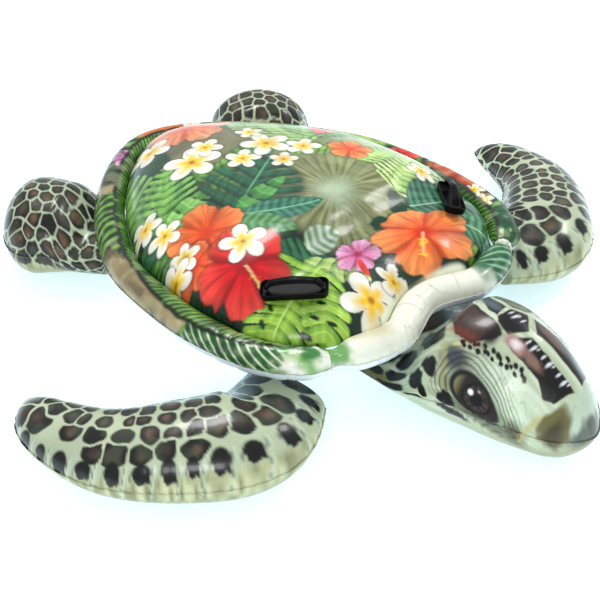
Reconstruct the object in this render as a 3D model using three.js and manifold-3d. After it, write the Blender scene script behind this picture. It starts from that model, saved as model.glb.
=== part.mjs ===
// Sea-turtle ride-on pool float, an inflated vinyl toy, in millimetres, +Z up.
// The head points to -Y and the turtle's left side is +X.
//
// Every air chamber is two thin vinyl sheets, an upper one and a lower one, that meet along a
// welded seam.  A sheet is a closed thin solid: an outer grid of points, the same grid moved
// inwards by the vinyl thickness, and a narrow wall along its free edges.
import * as THREE from 'three';
import * as BufferGeometryUtils from 'three/addons/utils/BufferGeometryUtils.js';
import Module from 'manifold-3d';

const wasm = await Module();
wasm.setup();

// ---------------------------------------------------------------- driving dimensions
const VINYL = 0.5;              // sheet thickness
const SEAM_GAP = 0.4;           // between two sheets along a weld
const CHAMBER_GAP = 1.2;        // along the welds of the head and flippers, which curve in height
const GROOVE_GAP = 0.8;         // between the rim tube and the shell sheets
const SHELL_Y = 111;            // shell centre, so that the whole float is centred on the origin

// Left half of the shell's outline seen from above, front middle to rear middle, about its centre.
const SHELL_OUTLINE = [
  [0, -485], [140, -530], [280, -500], [385, -440], [455, -345], [495, -170], [495, 0],
  [470, 170], [395, 330], [310, 455], [200, 570], [90, 645], [0, 665],
];
const RIM_RADIUS = 40;          // rim tube
const RIM_Z = 205;              // height of the rim seam
const PINCH_AT = [330, -490];   // shoulder, where the rim tube is gathered
const PINCH_DEPTH = 0.42;       // share of the radius lost in the gather
const PINCH_LENGTH = 42;
const RIM_STEPS = 36;           // along the tube, round the rear
const COLLAR_STEPS = 12;        // along the tube, over the neck

const REAR_LOBE_HEIGHT = 165;   // dome above the rim seam
const FRONT_LOBE_HEIGHT = 128;
const CREASE_Y = -225;          // crosswise crease between the lobes, about the shell centre
const CREASE_DEPTH = 34;
const CREASE_WIDTH = 55;
const BELLY_FLAT = 0.45;        // share of the belly that lies flat on the ground
const WEB_HALF_WIDTH = 300;     // inner web under the crease
const WEB_TOP_GAP = 4;
const WEB_BOTTOM_GAP = 12;

// Spines run from the welded root under the rim to the tip, about the shell centre, left side.
// The root is pressed flat under the rim: rootPress is the share of its height that is left there,
// and the section is full again at the share of the length named last.
const FRONT_FLIPPER = {
  spine: [[380, -360], [535, -410], [670, -335], [770, -235], [820, -90], [815, 25]],
  halfWidths: [105, 135, 125, 105, 75, 40],
  thickness: 0.74,              // height over width of the inflated section
  middle: 102,                  // height of the weld above the ground
  rootMiddle: 95,
  rootPress: 0.72,
  pressFrom: 0.05,
  pressTo: 0.28,
  tipRound: 0.13,               // share of the length over which the tip rounds off
  steps: 14,
};
const REAR_FLIPPER = {
  spine: [[290, 390], [380, 555], [470, 660]],
  halfWidths: [120, 150, 170],
  thickness: 0.8,
  middle: 128,
  rootMiddle: 98,
  rootPress: 0.56,
  pressFrom: 0.16,
  pressTo: 0.42,
  tipRound: 0.4,
  steps: 10,
};
const HEAD = {
  ys: [-380, -505, -600, -680, -770, -860, -940],
  halfWidths: [195, 195, 195, 180, 155, 105, 50],
  rises: [35, 65, 160, 155, 140, 110, 50],      // height above the weld
  falls: [40, 55, 105, 130, 125, 105, 60],      // depth below the weld
  middles: [90, 95, 120, 135, 130, 110, 100],   // height of the weld above the ground
  peak: 1.8,                    // the cheeks slope up to the crown, 1 would be an even curve
  noseRound: 0.12,
  steps: 14,
};

const HANDLE_PAD = { length: 155, width: 52, corner: 15, floor: 2.5, wall: 2.4, height: 12 };
const HANDLE_AT = [275, -290];  // about the shell centre
const HANDLE_TURN = 48;         // degrees, grips toe in towards the head
const PAD_CLEARANCE = 4.5;
const GRIP_REACH = 70;
const GRIP_AXIS = 11.5;         // height of the fold axis above the underside of the pad
const GRIP_RISE = 30;
const GRIP_STRAP = [20, 8];     // width and thickness
const GRIP_FOOT = 8.4;          // radius of the round end

const VALVE_PATCH_RADIUS = 16;
const VALVE_STEM_RADIUS = 6;
const VALVE_BORE_RADIUS = 4;
const VALVE_STEM_OUT = 12;
const VALVE_STEM_IN = 7;
const SHELL_VALVE_AT = [0.56, 0.6];                // ring and sector of the belly, rear left
const RIM_VALVE_AT = [0.3, -Math.PI / 7];          // share of the outline and angle below the seam

// ---------------------------------------------------------------- materials
function vinyl(color, roughness = 0.25) {
  return new THREE.MeshStandardMaterial({ color, roughness, metalness: 0 });
}
const PRINTED_SHELL = vinyl(0x4f8a3c);
const PRINTED_SKIN = vinyl(0x9fae8c);
const PALE_BELLY = vinyl(0xe6ebe8);
const OLIVE_BELLY = vinyl(0x9b9468);
const BLACK_GLOSS = vinyl(0x0b0b0d, 0.2);
const CLEAR_VINYL = vinyl(0xdfe6e4, 0.3);

const float = new THREE.Group();

function addPiece(name, geometry, material, parent = float) {
  const mesh = new THREE.Mesh(geometry, material);
  mesh.name = name;
  parent.add(mesh);
  return mesh;
}

// ---------------------------------------------------------------- thin sheets
// pointAt(u, v) gives the outer face; du x dv points out of the chamber.  Points that fall
// together, such as a tip or a closed loop, are merged.  keep() trims the inner face so that
// it stays on its own side of a seam.
function sheetGeometry(rows, columns, pointAt, keep = (point) => point) {
  const outer = [];
  const ids = new Map();
  const idOf = (point) => {
    const key = point.toArray().map((value) => Math.round(value * 1000)).join();
    if (!ids.has(key)) {
      ids.set(key, outer.length);
      outer.push(point);
    }
    return ids.get(key);
  };
  const grid = [];
  for (let row = 0; row <= rows; row += 1) {
    const line = [];
    for (let column = 0; column <= columns; column += 1) {
      line.push(idOf(pointAt(row / rows, column / columns)));
    }
    grid.push(line);
  }
  const triangles = [];
  const addTriangle = (a, b, c) => {
    if (a !== b && b !== c && c !== a) triangles.push([a, b, c]);
  };
  for (let row = 0; row < rows; row += 1) {
    for (let column = 0; column < columns; column += 1) {
      const a = grid[row][column];
      const b = grid[row + 1][column];
      const c = grid[row + 1][column + 1];
      const d = grid[row][column + 1];
      addTriangle(a, b, c);
      addTriangle(a, c, d);
    }
  }
  const normals = outer.map(() => new THREE.Vector3());
  const edges = new Map();
  for (const triangle of triangles) {
    const [a, b, c] = triangle.map((id) => outer[id]);
    const normal = b.clone().sub(a).cross(c.clone().sub(a));
    triangle.forEach((id, corner) => {
      normals[id].add(normal);
      edges.set(`${id},${triangle[(corner + 1) % 3]}`, [id, triangle[(corner + 1) % 3]]);
    });
  }
  const inner = outer.map((point, id) => (
    keep(point.clone().addScaledVector(normals[id].normalize(), -VINYL))));
  const count = outer.length;
  const faces = [];
  for (const [a, b, c] of triangles) {
    faces.push(a, b, c, c + count, b + count, a + count);
  }
  for (const [a, b] of edges.values()) {
    if (!edges.has(`${b},${a}`)) faces.push(b, a, a + count, b, a + count, b + count);
  }
  const geometry = new THREE.BufferGeometry();
  const positions = [...outer, ...inner].flatMap((point) => point.toArray());
  geometry.setAttribute('position', new THREE.Float32BufferAttribute(positions, 3));
  geometry.setIndex(faces);
  return geometry;
}

const keepAbove = (z) => (point) => point.setZ(Math.max(point.z, z));
const keepBelow = (z) => (point) => point.setZ(Math.min(point.z, z));

// Smooth curve of a named quantity through evenly spaced values.
function blendValues(values) {
  const curve = new THREE.CatmullRomCurve3(values.map((value, index) => (
    new THREE.Vector3(index, value, 0))));
  return (share) => curve.getPoint(share).y;
}

// Width of a chamber that ends in a round tip over the last part of its length.
function tipShare(along, round) {
  const left = Math.min((1 - along) / round, 1);
  return Math.sqrt(Math.max(0, 1 - (1 - left) ** 2));
}

// ---------------------------------------------------------------- shell outline
const outlinePoints = [
  ...SHELL_OUTLINE.map(([x, y]) => new THREE.Vector3(x, y + SHELL_Y, 0)),
  ...SHELL_OUTLINE.slice(1, -1).reverse().map(([x, y]) => new THREE.Vector3(-x, y + SHELL_Y, 0)),
];
const outlineCurve = new THREE.CatmullRomCurve3(outlinePoints, true, 'centripetal');
const shellCentre = new THREE.Vector3(0, SHELL_Y, 0);

// Point of the outline moved inwards by a distance, share runs anticlockwise from the front.
function outlineAt(share, inset) {
  const wrapped = ((share % 1) + 1) % 1;
  const point = outlineCurve.getPoint(wrapped);
  const tangent = outlineCurve.getTangent(wrapped);
  return new THREE.Vector3(point.x - tangent.y * inset, point.y + tangent.x * inset, 0);
}

// Share of the outline that lies nearest to a place, by a fine search.
function outlineShare([x, y]) {
  const target = new THREE.Vector3(x, y + SHELL_Y, 0);
  let best = 0;
  for (let step = 0; step < 2000; step += 1) {
    const share = step / 2000;
    if (outlineAt(share, 0).distanceTo(target) < outlineAt(best, 0).distanceTo(target)) best = share;
  }
  return best;
}
const PINCH_SHARE = outlineShare(PINCH_AT);

// ---------------------------------------------------------------- shell dome and belly
const smoothStep = (low, high, value) => {
  const share = Math.min(Math.max((value - low) / (high - low), 0), 1);
  return share * share * (3 - 2 * share);
};

// Height of the dome over the rim seam, for a point that lies a share of the way to the rim.
function domeHeight(y, share) {
  const fromCrease = y - SHELL_Y - CREASE_Y;
  const lobe = THREE.MathUtils.lerp(
    FRONT_LOBE_HEIGHT, REAR_LOBE_HEIGHT, smoothStep(-CREASE_WIDTH, CREASE_WIDTH, fromCrease));
  const bulge = (1 - share ** 2.8) ** 0.5;
  const crease = CREASE_DEPTH * Math.exp(-((fromCrease / CREASE_WIDTH) ** 2)) * (0.45 + 0.55 * share);
  return Math.max(0, lobe - crease) * bulge;
}

function bellyHeight(share) {
  const slope = Math.max(0, (share - BELLY_FLAT) / (1 - BELLY_FLAT));
  return (RIM_Z - SEAM_GAP) * slope ** 1.15;
}

// The shell's sectors start and end where the rim tube's steps do, so that their edges run parallel.
function sectorShare(sector) {
  const column = sector * (COLLAR_STEPS + RIM_STEPS);
  if (column <= COLLAR_STEPS) return THREE.MathUtils.lerp(-PINCH_SHARE, PINCH_SHARE, column / COLLAR_STEPS);
  return THREE.MathUtils.lerp(PINCH_SHARE, 1 - PINCH_SHARE, (column - COLLAR_STEPS) / RIM_STEPS);
}

function shellPoint(ring, sector, heightAt) {
  const edge = outlineAt(sectorShare(sector), 2 * RIM_RADIUS + GROOVE_GAP);
  const share = Math.sin(ring * Math.PI / 2);
  const point = shellCentre.clone().lerp(edge, share);
  return point.setZ(heightAt(point.y, share));
}

function shellTopPoint(ring, sector) {
  return shellPoint(ring, sector, (y, share) => RIM_Z + SEAM_GAP / 2 + domeHeight(y, share));
}

function bellyPoint(ring, sector) {
  return shellPoint(ring, 1 - sector, (y, share) => bellyHeight(share));
}

const SHELL_RINGS = 8;
const SHELL_SECTORS = COLLAR_STEPS + RIM_STEPS;
const shellTop = sheetGeometry(
  SHELL_RINGS, SHELL_SECTORS, shellTopPoint, keepAbove(RIM_Z + SEAM_GAP / 2));
const belly = sheetGeometry(SHELL_RINGS, SHELL_SECTORS, bellyPoint);

// Web inside the main chamber that ties the crease to the belly.  Air passes round its ends.
function crossWeb() {
  const y = SHELL_Y + CREASE_Y;
  const outline = new THREE.Shape();
  const xs = Array.from({ length: 13 }, (_, step) => WEB_HALF_WIDTH * (step / 6 - 1));
  const shares = xs.map((x) => shareToGroove(x, y));
  outline.moveTo(xs[0], domeSurface(xs[0], y) - WEB_TOP_GAP);
  xs.forEach((x) => outline.lineTo(x, domeSurface(x, y) - WEB_TOP_GAP));
  [...xs.keys()].reverse().forEach((step) => {
    outline.lineTo(xs[step], bellyHeight(shares[step]) + WEB_BOTTOM_GAP);
  });
  const web = new THREE.ExtrudeGeometry(outline, { depth: VINYL, bevelEnabled: false });
  return web.rotateX(Math.PI / 2).translate(0, y, 0);
}

// ---------------------------------------------------------------- rim tube
function rimRadius(around) {
  const distance = (share) => {
    const turn = Math.abs(((around - share) % 1 + 1.5) % 1 - 0.5);
    return turn * outlineCurve.getLength();
  };
  const nearest = Math.min(distance(PINCH_SHARE), distance(1 - PINCH_SHARE));
  return RIM_RADIUS * (1 - PINCH_DEPTH * Math.exp(-((nearest / PINCH_LENGTH) ** 2)));
}

function rimPoint(around, angle, seamZ) {
  const radius = rimRadius(around);
  const point = outlineAt(around, RIM_RADIUS - radius * Math.cos(angle));
  return point.setZ(seamZ + radius * Math.sin(angle));
}

function rimSheet(from, to, steps, half) {
  const side = half === 'upper' ? 1 : -1;
  const seamZ = RIM_Z + side * SEAM_GAP / 2;
  const start = half === 'upper' ? 0 : Math.PI;
  const pointAt = (along, turn) => (
    rimPoint(THREE.MathUtils.lerp(from, to, along), start + turn * Math.PI, seamZ));
  return sheetGeometry(steps, 6, pointAt, side > 0 ? keepAbove(seamZ) : keepBelow(seamZ));
}

const RIM_END_GAP = 0.0003;     // share of the outline left free at each pinch
const rimRear = [PINCH_SHARE + RIM_END_GAP, 1 - PINCH_SHARE - RIM_END_GAP];
const rimFront = [-PINCH_SHARE + RIM_END_GAP, PINCH_SHARE - RIM_END_GAP];

// ---------------------------------------------------------------- tapering chambers
const CHAMBER_COLUMNS = 8;

// Section of a chamber at a share of its length: half an ellipse below the weld, and above it one
// that may be drawn up to a peak.
function chamberSheet(chamber, steps, half) {
  const side = half === 'upper' ? 1 : -1;
  const pointAt = (along, turn) => {
    const eased = 1 - (1 - along) ** 1.7;
    const angle = (half === 'upper' ? 0 : Math.PI) + turn * Math.PI;
    const { centre, across, width, rise, fall, peak } = chamber(eased);
    const point = centre.clone().addScaledVector(across, width * Math.cos(angle));
    const lift = side > 0 ? rise * Math.max(0, Math.sin(angle)) ** peak : fall * Math.sin(angle);
    point.z += lift + side * CHAMBER_GAP / 2;
    return point;
  };
  return sheetGeometry(steps, CHAMBER_COLUMNS, pointAt);
}

function flipperChamber(shape, mirror) {
  const spine = new THREE.CatmullRomCurve3(shape.spine.map(([x, y]) => (
    new THREE.Vector3(mirror * x, y + SHELL_Y, 0))));
  const halfWidth = blendValues(shape.halfWidths);
  return (along) => {
    const free = smoothStep(shape.pressFrom, shape.pressTo, along);
    const tangent = spine.getTangent(along);
    const width = halfWidth(along) * tipShare(along, shape.tipRound);
    const height = width * shape.thickness * THREE.MathUtils.lerp(shape.rootPress, 1, free);
    const centre = spine.getPoint(along);
    centre.z = THREE.MathUtils.lerp(shape.rootMiddle, shape.middle, free);
    const across = new THREE.Vector3(tangent.y, -tangent.x, 0).normalize();
    return { centre, across, width, rise: height, fall: height, peak: 1 };
  };
}

function headChamber(shape) {
  const y = blendValues(shape.ys);
  const halfWidth = blendValues(shape.halfWidths);
  const rise = blendValues(shape.rises);
  const fall = blendValues(shape.falls);
  const middle = blendValues(shape.middles);
  return (along) => {
    const round = tipShare(along, shape.noseRound);
    return {
      centre: new THREE.Vector3(0, y(along) + SHELL_Y, middle(along)),
      across: new THREE.Vector3(-1, 0, 0),
      width: halfWidth(along) * round,
      rise: rise(along) * round,
      fall: fall(along) * round,
      peak: shape.peak,
    };
  };
}

// ---------------------------------------------------------------- booleans
function toSolid(geometry) {
  const bare = geometry.clone();
  bare.deleteAttribute('normal');
  bare.deleteAttribute('uv');
  const merged = BufferGeometryUtils.mergeVertices(bare, 1e-4);
  return new wasm.Manifold(new wasm.Mesh({
    numProp: 3,
    vertProperties: new Float32Array(merged.attributes.position.array),
    triVerts: new Uint32Array(merged.index.array),
  }));
}

function toGeometry(solid) {
  const mesh = solid.getMesh();
  const geometry = new THREE.BufferGeometry();
  geometry.setAttribute('position', new THREE.BufferAttribute(new Float32Array(mesh.vertProperties), 3));
  geometry.setIndex(new THREE.BufferAttribute(new Uint32Array(mesh.triVerts), 1));
  return geometry;
}

function join(...geometries) {
  return toGeometry(geometries.map(toSolid).reduce((sum, solid) => sum.add(solid)));
}

function cut(geometry, ...tools) {
  return toGeometry(tools.map(toSolid).reduce((left, tool) => left.subtract(tool), toSolid(geometry)));
}

// ---------------------------------------------------------------- valves
// A valve frame stands on the vinyl: its origin on the sheet and its z axis out of the chamber.
function surfaceFrame(point, normal, alongHint) {
  const z = normal.clone().normalize();
  const x = alongHint.clone().addScaledVector(z, -alongHint.dot(z)).normalize();
  const y = z.clone().cross(x);
  return new THREE.Matrix4().makeBasis(x, y, z).setPosition(point);
}

function cylinder(radiusTop, radiusBottom, bottom, top, segments = 14) {
  const geometry = new THREE.CylinderGeometry(radiusTop, radiusBottom, top - bottom, segments);
  geometry.rotateX(Math.PI / 2);
  geometry.translate(0, 0, (top + bottom) / 2);
  return geometry;
}

function ring(outerRadius, innerRadius, bottom, top) {
  const profile = [
    [innerRadius, bottom], [outerRadius, bottom], [outerRadius, top], [innerRadius, top], [innerRadius, bottom],
  ];
  const geometry = new THREE.LatheGeometry(profile.map(([r, z]) => new THREE.Vector2(r, z)), 14);
  geometry.rotateX(Math.PI / 2);
  return geometry;
}

function box(x, y, z, width, depth, height) {
  return new THREE.BoxGeometry(width, depth, height).translate(x, y, z);
}

const STEM_CLEARANCE = 0.4;
const PLUG_HINGE_X = -(VALVE_STEM_RADIUS + 3.2);
const PLUG_HINGE_Z = VALVE_STEM_OUT + 0.2;

function valveSocket() {
  return ring(VALVE_PATCH_RADIUS, VALVE_STEM_RADIUS + STEM_CLEARANCE, -1.2, 0.4);
}

function valveStem() {
  const tube = ring(VALVE_STEM_RADIUS, VALVE_BORE_RADIUS, -VALVE_STEM_IN, VALVE_STEM_OUT);
  const lug = box(-VALVE_STEM_RADIUS - 1, 0, VALVE_STEM_OUT - 1.6, 3, 5, 1.6);
  return join(tube, lug);
}

function valveFlap() {
  return cylinder(VALVE_STEM_RADIUS - 0.4, VALVE_STEM_RADIUS - 0.4, -VALVE_STEM_IN - 1.1, -VALVE_STEM_IN - 0.4);
}

function valvePlug() {
  const cap = cylinder(VALVE_STEM_RADIUS, VALVE_STEM_RADIUS, VALVE_STEM_OUT + 0.4, VALVE_STEM_OUT + 2.2);
  const nose = cylinder(VALVE_BORE_RADIUS - 0.6, VALVE_BORE_RADIUS - 1.1, VALVE_STEM_OUT - 3.6, VALVE_STEM_OUT + 0.6);
  const strap = box(-VALVE_STEM_RADIUS - 1.4, 0, VALVE_STEM_OUT + 1.1, 5.2, 5, 1);
  return join(cap, nose, strap);
}

function placed(geometry, matrix) {
  return geometry.applyMatrix4(matrix);
}

function addValve(name, frame) {
  addPiece(`${name}_valve_socket`, placed(valveSocket(), frame), CLEAR_VINYL);
  addPiece(`${name}_valve_stem`, placed(valveStem(), frame), CLEAR_VINYL);
  addPiece(`${name}_valve_flap`, placed(valveFlap(), frame), CLEAR_VINYL);
  addPiece(`${name}_valve_plug`, placed(valvePlug(), frame), CLEAR_VINYL);
}

function valveHole(frame) {
  return placed(cylinder(VALVE_PATCH_RADIUS + 0.6, VALVE_PATCH_RADIUS + 0.6, -12, 12, 24), frame);
}

// Frame on a surface given by pointAt(u, v), with du x dv out of the chamber.
function frameOn(pointAt, u, v) {
  const step = 0.004;
  const along = pointAt(u + step, v).sub(pointAt(u - step, v));
  const around = pointAt(u, v + step).sub(pointAt(u, v - step));
  return surfaceFrame(pointAt(u, v), along.clone().cross(around), along);
}

const shellValve = frameOn(bellyPoint, ...SHELL_VALVE_AT);
const rimValve = frameOn((around, angle) => rimPoint(around, angle, RIM_Z), ...RIM_VALVE_AT);

// ---------------------------------------------------------------- handles
// The grip's own frame: x along the grip, z out of the shell, origin on the pad.
function roundedRectangle(length, width, corner) {
  const outline = new THREE.Shape();
  const x = length / 2 - corner;
  const y = width / 2 - corner;
  outline.absarc(x, -y, corner, -Math.PI / 2, 0);
  outline.absarc(x, y, corner, 0, Math.PI / 2);
  outline.absarc(-x, y, corner, Math.PI / 2, Math.PI);
  outline.absarc(-x, -y, corner, Math.PI, 3 * Math.PI / 2);
  return outline;
}

// Shallow moulded pad with a raised edge, which frames the grip.
function handlePad() {
  const { length, width, corner, floor, wall, height } = HANDLE_PAD;
  const settings = { depth: height, bevelEnabled: false, curveSegments: 5 };
  const block = new THREE.ExtrudeGeometry(roundedRectangle(length, width, corner), settings);
  const pocket = new THREE.ExtrudeGeometry(
    roundedRectangle(length - 2 * wall, width - 2 * wall, corner - wall), settings);
  return cut(block, pocket.translate(0, 0, floor));
}

// Strap loop with a round foot about the fold axis at each end.
function handleGrip() {
  const foot = GRIP_REACH - 6;
  const path = new THREE.CatmullRomCurve3([
    [-foot, GRIP_AXIS], [-GRIP_REACH + 17, GRIP_AXIS + 15], [-GRIP_REACH + 40, GRIP_AXIS + GRIP_RISE - 10],
    [0, GRIP_AXIS + GRIP_RISE - 6],
    [GRIP_REACH - 40, GRIP_AXIS + GRIP_RISE - 10], [GRIP_REACH - 17, GRIP_AXIS + 15], [foot, GRIP_AXIS],
  ].map(([x, z]) => new THREE.Vector3(x, 0, z)));
  const [width, thickness] = GRIP_STRAP;
  const section = new THREE.Shape();
  section.absellipse(0, 0, thickness / 2, width / 2, 0, 2 * Math.PI);
  const strap = new THREE.ExtrudeGeometry(section, { steps: 14, curveSegments: 5, extrudePath: path });
  const feet = [-1, 1].map((end) => (
    new THREE.SphereGeometry(GRIP_FOOT, 10, 6).translate(end * foot, 0, GRIP_AXIS)));
  return join(strap, ...feet);
}

// Frame of a handle pad: tangent to the dome and lifted just clear of it.
function handleFrame(mirror) {
  const turn = THREE.MathUtils.degToRad(HANDLE_TURN);
  const along = new THREE.Vector3(-mirror * Math.cos(turn), -Math.sin(turn), 0);
  const across = new THREE.Vector3(-along.y, along.x, 0);
  const { length, width } = HANDLE_PAD;
  const centre = new THREE.Vector3(mirror * HANDLE_AT[0], HANDLE_AT[1] + SHELL_Y, 0);
  const surface = (dx, dy) => {
    const point = centre.clone().addScaledVector(along, dx).addScaledVector(across, dy);
    return point.setZ(domeSurface(point.x, point.y));
  };
  const reach = 0.35 * length;
  const slopeAlong = surface(reach, 0).sub(surface(-reach, 0));
  const slopeAcross = surface(0, width / 2).sub(surface(0, -width / 2));
  const frame = surfaceFrame(surface(0, 0), slopeAlong.clone().cross(slopeAcross), slopeAlong);
  const toPad = frame.clone().invert();
  let lift = 0;
  for (let dx = -0.5; dx <= 0.5; dx += 0.125) {
    for (const dy of [-0.5, 0, 0.5]) {
      lift = Math.max(lift, surface(dx * length, dy * width).applyMatrix4(toPad).z);
    }
  }
  return frame.multiply(new THREE.Matrix4().makeTranslation(0, 0, lift + PAD_CLEARANCE));
}

// Share of the way from the shell centre to the groove, for a place on the shell.
function shareToGroove(x, y) {
  const dx = x - shellCentre.x;
  const dy = y - shellCentre.y;
  let best = { gap: Infinity, radius: 1 };
  for (let step = 0; step < 720; step += 1) {
    const edge = outlineAt(step / 720, 2 * RIM_RADIUS + GROOVE_GAP).sub(shellCentre);
    const gap = Math.abs(Math.atan2(edge.x * dy - edge.y * dx, edge.x * dx + edge.y * dy));
    if (gap < best.gap) best = { gap, radius: Math.hypot(edge.x, edge.y) };
  }
  return Math.hypot(dx, dy) / best.radius;
}

function domeSurface(x, y) {
  return RIM_Z + domeHeight(y, Math.min(shareToGroove(x, y), 1));
}

function addHandle(side, mirror) {
  const frame = handleFrame(mirror);
  addPiece(`${side}_handle_pad`, placed(handlePad(), frame), BLACK_GLOSS);
  addPiece(`${side}_handle_grip`, placed(handleGrip(), frame), BLACK_GLOSS);
}

// ---------------------------------------------------------------- assembly
addPiece('shell_top_panel', shellTop, PRINTED_SHELL);
addPiece('belly_panel', cut(belly, valveHole(shellValve)), PALE_BELLY);
addPiece('rim_upper_panel', rimSheet(...rimRear, RIM_STEPS, 'upper'), PRINTED_SHELL);
addPiece('rim_lower_panel', cut(rimSheet(...rimRear, RIM_STEPS, 'lower'), valveHole(rimValve)), PALE_BELLY);
addPiece('collar_upper_panel', rimSheet(...rimFront, COLLAR_STEPS, 'upper'), PRINTED_SHELL);
addPiece('collar_lower_panel', rimSheet(...rimFront, COLLAR_STEPS, 'lower'), PALE_BELLY);

addPiece('head_upper_panel', chamberSheet(headChamber(HEAD), HEAD.steps, 'upper'), PRINTED_SKIN);
addPiece('head_lower_panel', chamberSheet(headChamber(HEAD), HEAD.steps, 'lower'), OLIVE_BELLY);
for (const [side, mirror] of [['left', 1], ['right', -1]]) {
  for (const [place, shape] of [['front', FRONT_FLIPPER], ['rear', REAR_FLIPPER]]) {
    const chamber = flipperChamber(shape, mirror);
    const name = `${place}_${side}_flipper`;
    addPiece(`${name}_upper_panel`, chamberSheet(chamber, shape.steps, 'upper'), PRINTED_SKIN);
    addPiece(`${name}_lower_panel`, chamberSheet(chamber, shape.steps, 'lower'), OLIVE_BELLY);
  }
}
addHandle('left', 1);
addHandle('right', -1);
addPiece('inner_cross_web', crossWeb(), CLEAR_VINYL);
addValve('shell', shellValve);
addValve('rim', rimValve);

export default float;
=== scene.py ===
"""Sea-turtle ride-on pool float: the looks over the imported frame.

The float is blown-up printed vinyl, so every air chamber is one closed, taut skin.  The head and
the flippers have a flat weld flange along both seams, the rim and collar along their outer seam.
The chambers follow the same outlines and sections as the CAD sheets they stand for.
The prints are painted point by point into a colour attribute.
Lengths in this file are in millimetres until a mesh is made.
"""
import itertools
import math

import bpy
import numpy as np
from mathutils import Matrix, Vector


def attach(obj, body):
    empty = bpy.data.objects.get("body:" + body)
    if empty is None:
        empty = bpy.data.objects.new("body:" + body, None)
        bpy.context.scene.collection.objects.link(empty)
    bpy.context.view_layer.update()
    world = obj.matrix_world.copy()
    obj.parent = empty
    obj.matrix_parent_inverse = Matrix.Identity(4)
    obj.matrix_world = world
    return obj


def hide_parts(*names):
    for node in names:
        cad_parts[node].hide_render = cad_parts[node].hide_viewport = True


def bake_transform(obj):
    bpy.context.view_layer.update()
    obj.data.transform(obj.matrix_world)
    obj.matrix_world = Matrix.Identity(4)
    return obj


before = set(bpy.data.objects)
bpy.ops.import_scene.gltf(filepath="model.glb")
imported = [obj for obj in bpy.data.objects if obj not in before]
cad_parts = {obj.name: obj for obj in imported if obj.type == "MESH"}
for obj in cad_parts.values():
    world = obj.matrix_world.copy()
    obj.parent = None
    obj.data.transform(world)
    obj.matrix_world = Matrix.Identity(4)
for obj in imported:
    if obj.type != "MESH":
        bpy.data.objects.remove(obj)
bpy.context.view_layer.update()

# ---------------------------------------------------------------- driving dimensions
SHELL_Y = 111.0                 # shell centre
SHELL_OUTLINE = [
    (0, -485), (140, -530), (280, -500), (385, -440), (455, -345), (495, -170), (495, 0),
    (470, 170), (395, 330), (310, 455), (200, 570), (90, 645), (0, 665),
]
RIM_RADIUS = 40.0
RIM_Z = 205.0
GROOVE_GAP = 0.8
PINCH_AT = (330, -490)
PINCH_DEPTH = 0.42
PINCH_LENGTH = 42.0
REAR_LOBE_HEIGHT = 165.0
FRONT_LOBE_HEIGHT = 128.0
CREASE_Y = -225.0
CREASE_DEPTH = 34.0
CREASE_WIDTH = 55.0
BELLY_FLAT = 0.45
FLANGE = 3.0                    # width of the weld flange
FLANGE_HALF = 0.45              # half of its thickness
DOME_POWER = 2.8                # how square-shouldered the dome's section is
DOME_REACH, DOME_RISE = 500, 150  # typical half width and height of the dome, for even spacing
SHELL_CELLS = 290
BELLY_RINGS = (0.985, 0.95, 0.9, 0.82, 0.73, 0.64, 0.55, 0.5, 0.45, 0.3)
RIM_COLUMNS = (46, 24)          # columns of the rim's upper and lower sheet
CHAMBER_GAP = 0.0003            # share of the outline left open at each pinch

FRONT_FLIPPER = dict(
    spine=[(380, -360), (535, -410), (670, -335), (770, -235), (820, -90), (815, 25)],
    half_widths=[105, 135, 125, 105, 75, 40],
    thickness=0.74, middle=102, root_middle=95, root_press=0.72, press=(0.05, 0.28), tip_round=0.13,
    rows=300, upper=110, lower=50,
)
REAR_FLIPPER = dict(
    spine=[(290, 390), (380, 555), (470, 660)],
    half_widths=[120, 150, 170],
    thickness=0.8, middle=128, root_middle=98, root_press=0.56, press=(0.16, 0.42), tip_round=0.4,
    rows=150, upper=130, lower=60,
)
HEAD = dict(
    ys=[-380, -505, -600, -680, -770, -860, -940],
    half_widths=[195, 195, 195, 180, 155, 105, 50],
    rises=[35, 65, 160, 155, 140, 110, 50],
    falls=[40, 55, 105, 130, 125, 105, 60],
    middles=[90, 95, 120, 135, 130, 110, 100],
    peak=1.8,
    nose_round=0.12,
    rows=250, upper=190, lower=60,
)


# ---------------------------------------------------------------- curves and fields
def spline(points, closed=False):
    """Centripetal Catmull-Rom curve through the points, as a function of a share from 0 to 1."""
    points = np.array(points, float)
    spans = len(points) - (0 if closed else 1)
    if closed:
        knots = np.concatenate([points[-1:], points, points[:2]])
    else:
        knots = np.concatenate([2 * points[:1] - points[1:2], points, 2 * points[-1:] - points[-2:-1]])
    gaps = np.linalg.norm(np.diff(knots, axis=0), axis=1) ** 0.5

    def at(share):
        share = np.asarray(share, float)
        place = (share % 1.0 if closed else np.clip(share, 0, 1)) * spans
        span = np.minimum(place.astype(int), spans - 1)
        w = (place - span)[..., None]
        p0, p1, p2, p3 = (knots[span + k] for k in range(4))
        d0, d1, d2 = (gaps[span + k][..., None] for k in range(3))
        t1 = ((p1 - p0) / d0 - (p2 - p0) / (d0 + d1) + (p2 - p1) / d1) * d1
        t2 = ((p2 - p1) / d1 - (p3 - p1) / (d1 + d2) + (p3 - p2) / d2) * d1
        return p1 + w * (t1 + w * (3 * (p2 - p1) - 2 * t1 - t2 + w * (2 * (p1 - p2) + t1 + t2)))
    return at


def blend_values(values):
    """Smooth curve through evenly spaced values."""
    curve = spline([(index, value) for index, value in enumerate(values)])
    return lambda share: curve(share)[..., 1]


def smooth_step(low, high, value):
    share = np.clip((value - low) / (high - low), 0, 1)
    return share * share * (3 - 2 * share)


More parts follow.
